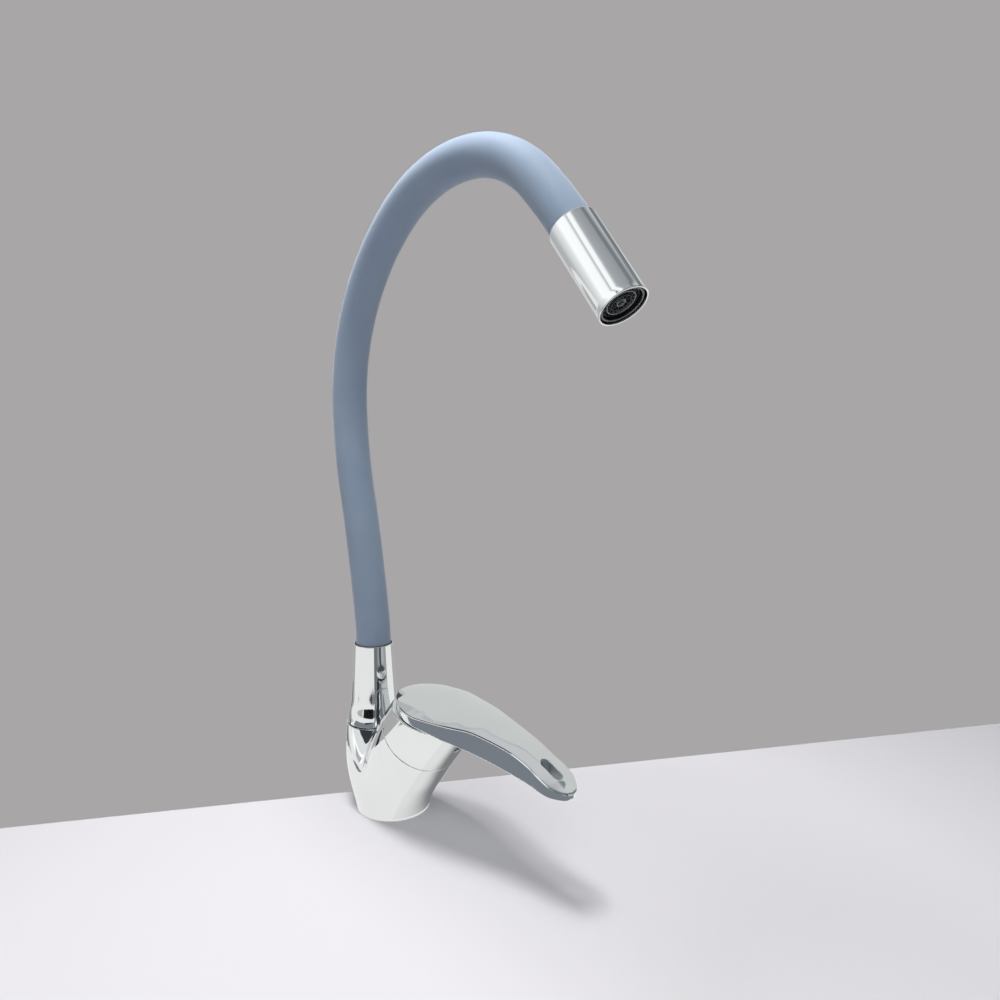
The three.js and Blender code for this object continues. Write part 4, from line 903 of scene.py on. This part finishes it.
# Fine ribs that split the water between the rings, by turns short and long. Each has four corners at three
# levels, and the last level is narrower, for a soft edge.
FINS = 20
FIN_HALF = 0.22
FIN_SPANS = ((5.4, 7.9), (2.2, 7.9))
FIN_LEVELS = ((-3, 1), (-0.75, 1), (-0.5, 0.5))
fin_points, fin_faces = [], []
for k in range(FINS):
    turn = FULL_TURN * (k + 0.5) / FINS
    lengthwise = np.array([math.cos(turn), math.sin(turn)])
    sideways = np.array([-math.sin(turn), math.cos(turn)])
    inner, outer = FIN_SPANS[k % 2]
    base = len(fin_points)
    for height, grow in FIN_LEVELS:
        for reach, side in ((inner, -1), (outer, -1), (outer, 1), (inner, 1)):
            spot = lengthwise * reach + sideways * side * grow * FIN_HALF
            fin_points.append((spot[0], spot[1], INSERT_END + height))
    for level in (0, 4):
        for j in range(4):
            a, b = base + level + j, base + level + (j + 1) % 4
            fin_faces.append((a, b, b + 4, a + 4))
    fin_faces.append(tuple(base + 8 + j for j in range(4)))
    fin_faces.append(tuple(base + j for j in (3, 2, 1, 0)))
fins = object_from("aerator_fins", placed(fin_points, HEAD), fin_faces, dark_ring)
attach(fins, "head")


# The stage

def stage_mesh(name, corners, material):
    """One flat face of the stage."""
    made = object_from(name, corners, [tuple(range(len(corners)))], material)
    return made


def emission(tree, colour):
    """A plain glow of a colour."""
    glow = tree.nodes.new("ShaderNodeEmission")
    feed(tree, glow.inputs["Color"], colour)
    return glow.outputs["Emission"]


def choose(tree, chosen, first, second):
    """The second shader where the chosen value is 1, and else the first."""
    made = tree.nodes.new("ShaderNodeMixShader")
    tree.links.new(chosen, made.inputs["Fac"])
    tree.links.new(first, made.inputs[1])
    tree.links.new(second, made.inputs[2])
    return made.outputs["Shader"]


def along(tree, vector, direction, low, high):
    """From 0 to 1 as a vector's reach along a direction grows from low to high."""
    dot = tree.nodes.new("ShaderNodeVectorMath")
    dot.operation = "DOT_PRODUCT"
    dot.inputs[1].default_value = direction
    tree.links.new(vector, dot.inputs[0])
    ramp = tree.nodes.new("ShaderNodeMapRange")
    ramp.interpolation_type = "SMOOTHSTEP"
    ramp.inputs["From Min"].default_value = low
    ramp.inputs["From Max"].default_value = high
    tree.links.new(dot.outputs["Value"], ramp.inputs["Value"])
    return ramp.outputs["Result"]


WALL_GREY = srgb(168, 166, 167)
BOARD_WHITE = srgb(221, 220, 225)
BOARD_MIRRORED = (0.93, 0.93, 0.92, 1)

# The board ends where a place's reach along this way, in metres, passes this.
AWAY = (-0.855, 0.5185, 0)
BOARD_END = 0.0242
BOARD_END_SOFT = 0.0006


def floor_material():
    """A pale board under the tap that ends at the grey of the wall behind."""
    made, tree, shader = new_material("stage_floor")
    place = tree.nodes.new("ShaderNodeNewGeometry").outputs["Position"]
    path = tree.nodes.new("ShaderNodeLightPath")
    shader.inputs["Base Color"].default_value = BOARD_WHITE
    shader.inputs["Roughness"].default_value = 0.8
    shader.inputs["Specular IOR Level"].default_value = 0.1
    board = shader.outputs["BSDF"]
    past_end = along(tree, place, AWAY, BOARD_END - BOARD_END_SOFT, BOARD_END + BOARD_END_SOFT)
    seen = choose(tree, past_end, board, emission(tree, WALL_GREY))
    mirrored = choose(tree, path.outputs["Is Glossy Ray"], board, emission(tree, BOARD_MIRRORED))
    both = choose(tree, path.outputs["Is Camera Ray"], mirrored, seen)
    tree.links.new(both, tree.nodes["Material Output"].inputs["Surface"])
    return made


FLOOR_REACH = 4000
stage_mesh("stage_floor", [(side * FLOOR_REACH, depth * FLOOR_REACH, 0)
                           for side, depth in ((-1, -1), (1, -1), (1, 1), (-1, 1))], floor_material())


def card(name, corners, colour, fade=None):
    """A flag that only polished surfaces see. It may fade to another colour between two reaches along a way."""
    made, tree, _ = new_material(name)
    tree.nodes.remove(tree.nodes["Principled BSDF"])
    if fade:
        other, way, low, high = fade
        place = tree.nodes.new("ShaderNodeNewGeometry").outputs["Position"]
        colour = tinted(tree, along(tree, place, way, low * MM, high * MM), colour, other)
    tree.links.new(emission(tree, colour), tree.nodes["Material Output"].inputs["Surface"])
    flag = stage_mesh(name, corners, made)
    for ray in ("camera", "diffuse", "shadow", "transmission", "volume_scatter"):
        setattr(flag, f"visible_{ray}", False)


def standing(name, middle, radius, first, last, low, high, colour, parts=1):
    """Flags that stand in an arc round a middle, between two bearings in degrees."""
    edges = [first + (last - first) * i / parts for i in range(parts + 1)]
    feet = [(middle[0] + radius * math.cos(edge * DEGREE), middle[1] + radius * math.sin(edge * DEGREE))
            for edge in edges]
    for i in range(parts):
        (ax, ay), (bx, by) = feet[i], feet[i + 1]
        card(f"{name}_{i + 1}", [(ax, ay, low), (bx, by, low), (bx, by, high), (ax, ay, high)], colour)


# Flags that lie just over the floor, as the chrome's lower sides show them.
DARK_FLAG = (0.03, 0.033, 0.04, 1)
card("stage_grey", [
    (-178, -60, 1), (-178, -165, 1), (-3000, -168, 1), (-3000, 3000, 1),
    (120, 3000, 1), (40, 400, 1), (10, 60, 1), (-60, 10, 1), (-150, -20, 1)], (0.46, 0.455, 0.46, 1))
card("stage_crease", [(-320, -84, 1.6), (-168, -84, 1.6), (-160, -55, 1.6), (-330, -55, 1.6)], DARK_FLAG)
card("stage_band", [
    (-140, -146, 1), (10, -142, 1), (24, -95, 1), (48, -78, 1), (80, -72, 1), (110, -20, 1), (300, 60, 1),
    (325, 60, 1), (325, -300, 1), (-170, -300, 1)], (0.21, 0.235, 0.27, 1))
card("stage_valley", [(50, -230, 1.4), (240, -228, 1.4), (270, -320, 1.4), (60, -330, 1.4)], DARK_FLAG)
card("stage_shade", [(8, -16, 1.5), (95, -16, 1.5), (95, 200, 1.5), (8, 200, 1.5)], (0.86, 0.86, 0.85, 1),
     ((0.22, 0.225, 0.235, 1), (-0.45, 0.89, 0), -26, 8))

# Upright screens round the tap: name, middle, radius, first and last bearing, lower and upper edge, colour, and
# how many flags make it up.
SCREENS = [
    ("stage_back", (60, 0), 420, 70, 165, 30, 590, (0.66, 0.685, 0.675, 1), 5),
    ("stage_over", (0, 0), 165, -165, -100, 118, 225, (0.05, 0.055, 0.065, 1), 2),
    ("stage_over_right", (0, 0), 165, -100, -55, 118, 300, (0.04, 0.045, 0.055, 1), 2),
    ("stage_glow", (0, 0), 300, -140, -92, 90, 225, (0.84, 0.85, 0.85, 1), 3),
    ("stage_gap", (-22, 0), 900, -84, -40, 18, 130, (0.01, 0.01, 0.012, 1), 3),
    ("stage_gap_left", (-22, 0), 900, -118, -88, 18, 130, (0.48, 0.48, 0.49, 1), 2)]
for screen in SCREENS:
    standing(*screen)

# Upright stripes that the spout cone shows: each has its two bearings and its brightness.
STRIPES = [(-34, -16, 0.19), (-16, -5, 0.34), (-5, 6, 0.08), (6, 20, 0.5), (20, 36, 0.38)]
STRIPE_REACH = 390
STRIPE_HEIGHT = 210
for k, (first, last, level) in enumerate(STRIPES):
    standing(f"stage_stripe_{k + 1}", (-22, 0), STRIPE_REACH, first, last, 0, STRIPE_HEIGHT,
             (level * 0.96, level, level * 1.05, 1))

# Brightness of the room round the tap, by bearing from the middle, as polished metal shows it: near the level
# of the eye, and high above it.
ROOM = [
    (-180, 0.5), (-168, 0.54), (-160, 0.64), (-150, 0.78), (-140, 0.86), (-134, 0.98), (-127, 1.18), (-104, 1.15),
    (-100, 0.95), (-97, 0.64), (-94, 0.68), (-91, 1.15), (-79, 1.12), (-73, 0.55), (-67, 0.24), (-54, 0.28),
    (-40, 0.12), (-10, 0.09), (45, 0.09), (60, 0.2), (75, 0.28), (88, 0.24), (98, 0.2), (110, 0.38), (130, 0.58),
    (180, 0.5)]
ROOM_ABOVE = [
    (-180, 0.6), (-160, 0.6), (-148, 0.24), (-112, 0.2), (-100, 0.35), (-90, 1.15), (-79, 1.1), (-74, 0.75),
    (-70, 0.52), (-60, 0.44), (-38, 0.41), (0, 0.37), (16, 0.37), (30, 0.25), (42, 0.22), (54, 0.24), (60, 0.33),
    (68, 0.44), (80, 0.62), (95, 0.66), (180, 0.62)]

# How steeply up a direction points, as the height of its unit vector, where one part of the room goes over into
# the next: first to the part above, and then to the ceiling.
ABOVE_FROM = (0.75, 0.785)
CEILING_FROM = (0.95, 0.99)
CEILING = (0.42, 0.43, 0.44, 1)
ROOM_LIGHT = (0.96, 0.98, 1.0, 1)
ROOM_LIGHT_STRENGTH = 0.35

# How much bluer the darker stretches are.
SHADE_COOLNESS = 0.07


def world_light():
    """Grey to the camera; to polished metal, a room with pale screens and a darker side."""
    world = bpy.data.worlds.new("room")
    bpy.context.scene.world = world
    world.use_nodes = True
    tree = world.node_tree
    tree.nodes.clear()
    output = tree.nodes.new("ShaderNodeOutputWorld")
    path = tree.nodes.new("ShaderNodeLightPath")
    direction = tree.nodes.new("ShaderNodeTexCoord").outputs["Generated"]
    split = tree.nodes.new("ShaderNodeSeparateXYZ")
    tree.links.new(direction, split.inputs[0])
    bearing = tree.nodes.new("ShaderNodeMath")
    bearing.operation = "ARCTAN2"
    tree.links.new(split.outputs["Y"], bearing.inputs[0])
    tree.links.new(split.outputs["X"], bearing.inputs[1])
    share = tree.nodes.new("ShaderNodeMapRange")
    share.inputs["From Min"].default_value = -math.pi
    share.inputs["From Max"].default_value = math.pi
    tree.links.new(bearing.outputs["Value"], share.inputs["Value"])

    def by_bearing(levels):
        ramp = tree.nodes.new("ShaderNodeValToRGB")
        stops = ramp.color_ramp.elements
        while len(stops) < len(levels):
            stops.new(1)
        for stop, (turn, level) in zip(stops, levels):
            stop.position = turn / 360 + 0.5
            cool = SHADE_COOLNESS * min(1, max(0, 1.5 - 2 * level))
            stop.color = (level * (1 - cool), level * 1.005, level * (1.015 + cool), 1)
        tree.links.new(share.outputs["Result"], ramp.inputs["Fac"])
        return ramp.outputs["Color"]

    up_way = (0, 0, 1)
    room = tinted(tree, along(tree, direction, up_way, *ABOVE_FROM), by_bearing(ROOM), by_bearing(ROOM_ABOVE))
    room = tinted(tree, along(tree, direction, up_way, *CEILING_FROM), room, CEILING)

    def background(colour, strength):
        made = tree.nodes.new("ShaderNodeBackground")
        made.inputs["Strength"].default_value = strength
        feed(tree, made.inputs["Color"], colour)
        return made.outputs["Background"]

    lit = choose(tree, path.outputs["Is Glossy Ray"], background(ROOM_LIGHT, ROOM_LIGHT_STRENGTH), background(room, 1))
    seen = choose(tree, path.outputs["Is Camera Ray"], lit, background(WALL_GREY, 1))
    tree.links.new(seen, output.inputs["Surface"])


world_light()


def lamp(name, place, aim, size, power, colour=(1, 1, 1)):
    """A round soft lamp, in metres, that the chrome doesn't show."""
    data = bpy.data.lights.new(name, "AREA")
    data.shape = "DISK"
    data.size = size
    data.energy = power
    data.color = colour
    made = bpy.data.objects.new(name, data)
    bpy.context.scene.collection.objects.link(made)
    made.location = place
    way = np.array(aim) - np.array(place)
    made.rotation_euler = (math.acos(-way[2] / np.linalg.norm(way)), 0, math.atan2(-way[0], way[1]))
    made.visible_glossy = False


lamp("key_light", (0.01, -0.06, 0.8), (0.04, 0, 0.3), 0.26, 5.0, (1, 0.975, 0.955))
lamp("front_light", (0.7, -0.6, 0.9), (0, 0, 0.25), 0.5, 3.3)


# The camera

YAW, PITCH, ROLL = 45.13 * DEGREE, 5.47 * DEGREE, 0.30 * DEGREE
CAMERA_PLACE = (0.41372, -0.30871, 0.26203)
SENSOR_WIDTH = 36
PHOTO_WIDTH = 1000
FOCAL_PIXELS = 764.5

forward = np.array([-math.sin(YAW) * math.cos(PITCH), math.cos(YAW) * math.cos(PITCH), -math.sin(PITCH)])
level_right = np.array([math.cos(YAW), math.sin(YAW), 0])
level_up = np.cross(level_right, forward)
right = level_right * math.cos(ROLL) + level_up * math.sin(ROLL)
up = np.cross(right, forward)
camera_data = bpy.data.cameras.new("photo_camera")
camera_data.sensor_width = SENSOR_WIDTH
camera_data.lens = FOCAL_PIXELS / PHOTO_WIDTH * SENSOR_WIDTH
camera = bpy.data.objects.new("photo_camera", camera_data)
bpy.context.scene.collection.objects.link(camera)
camera.matrix_world = Matrix([*zip(right, up, -forward, CAMERA_PLACE), (0, 0, 0, 1)])
bpy.context.scene.camera = camera
bpy.context.scene.view_settings.view_transform = "Standard"

dress_frame()
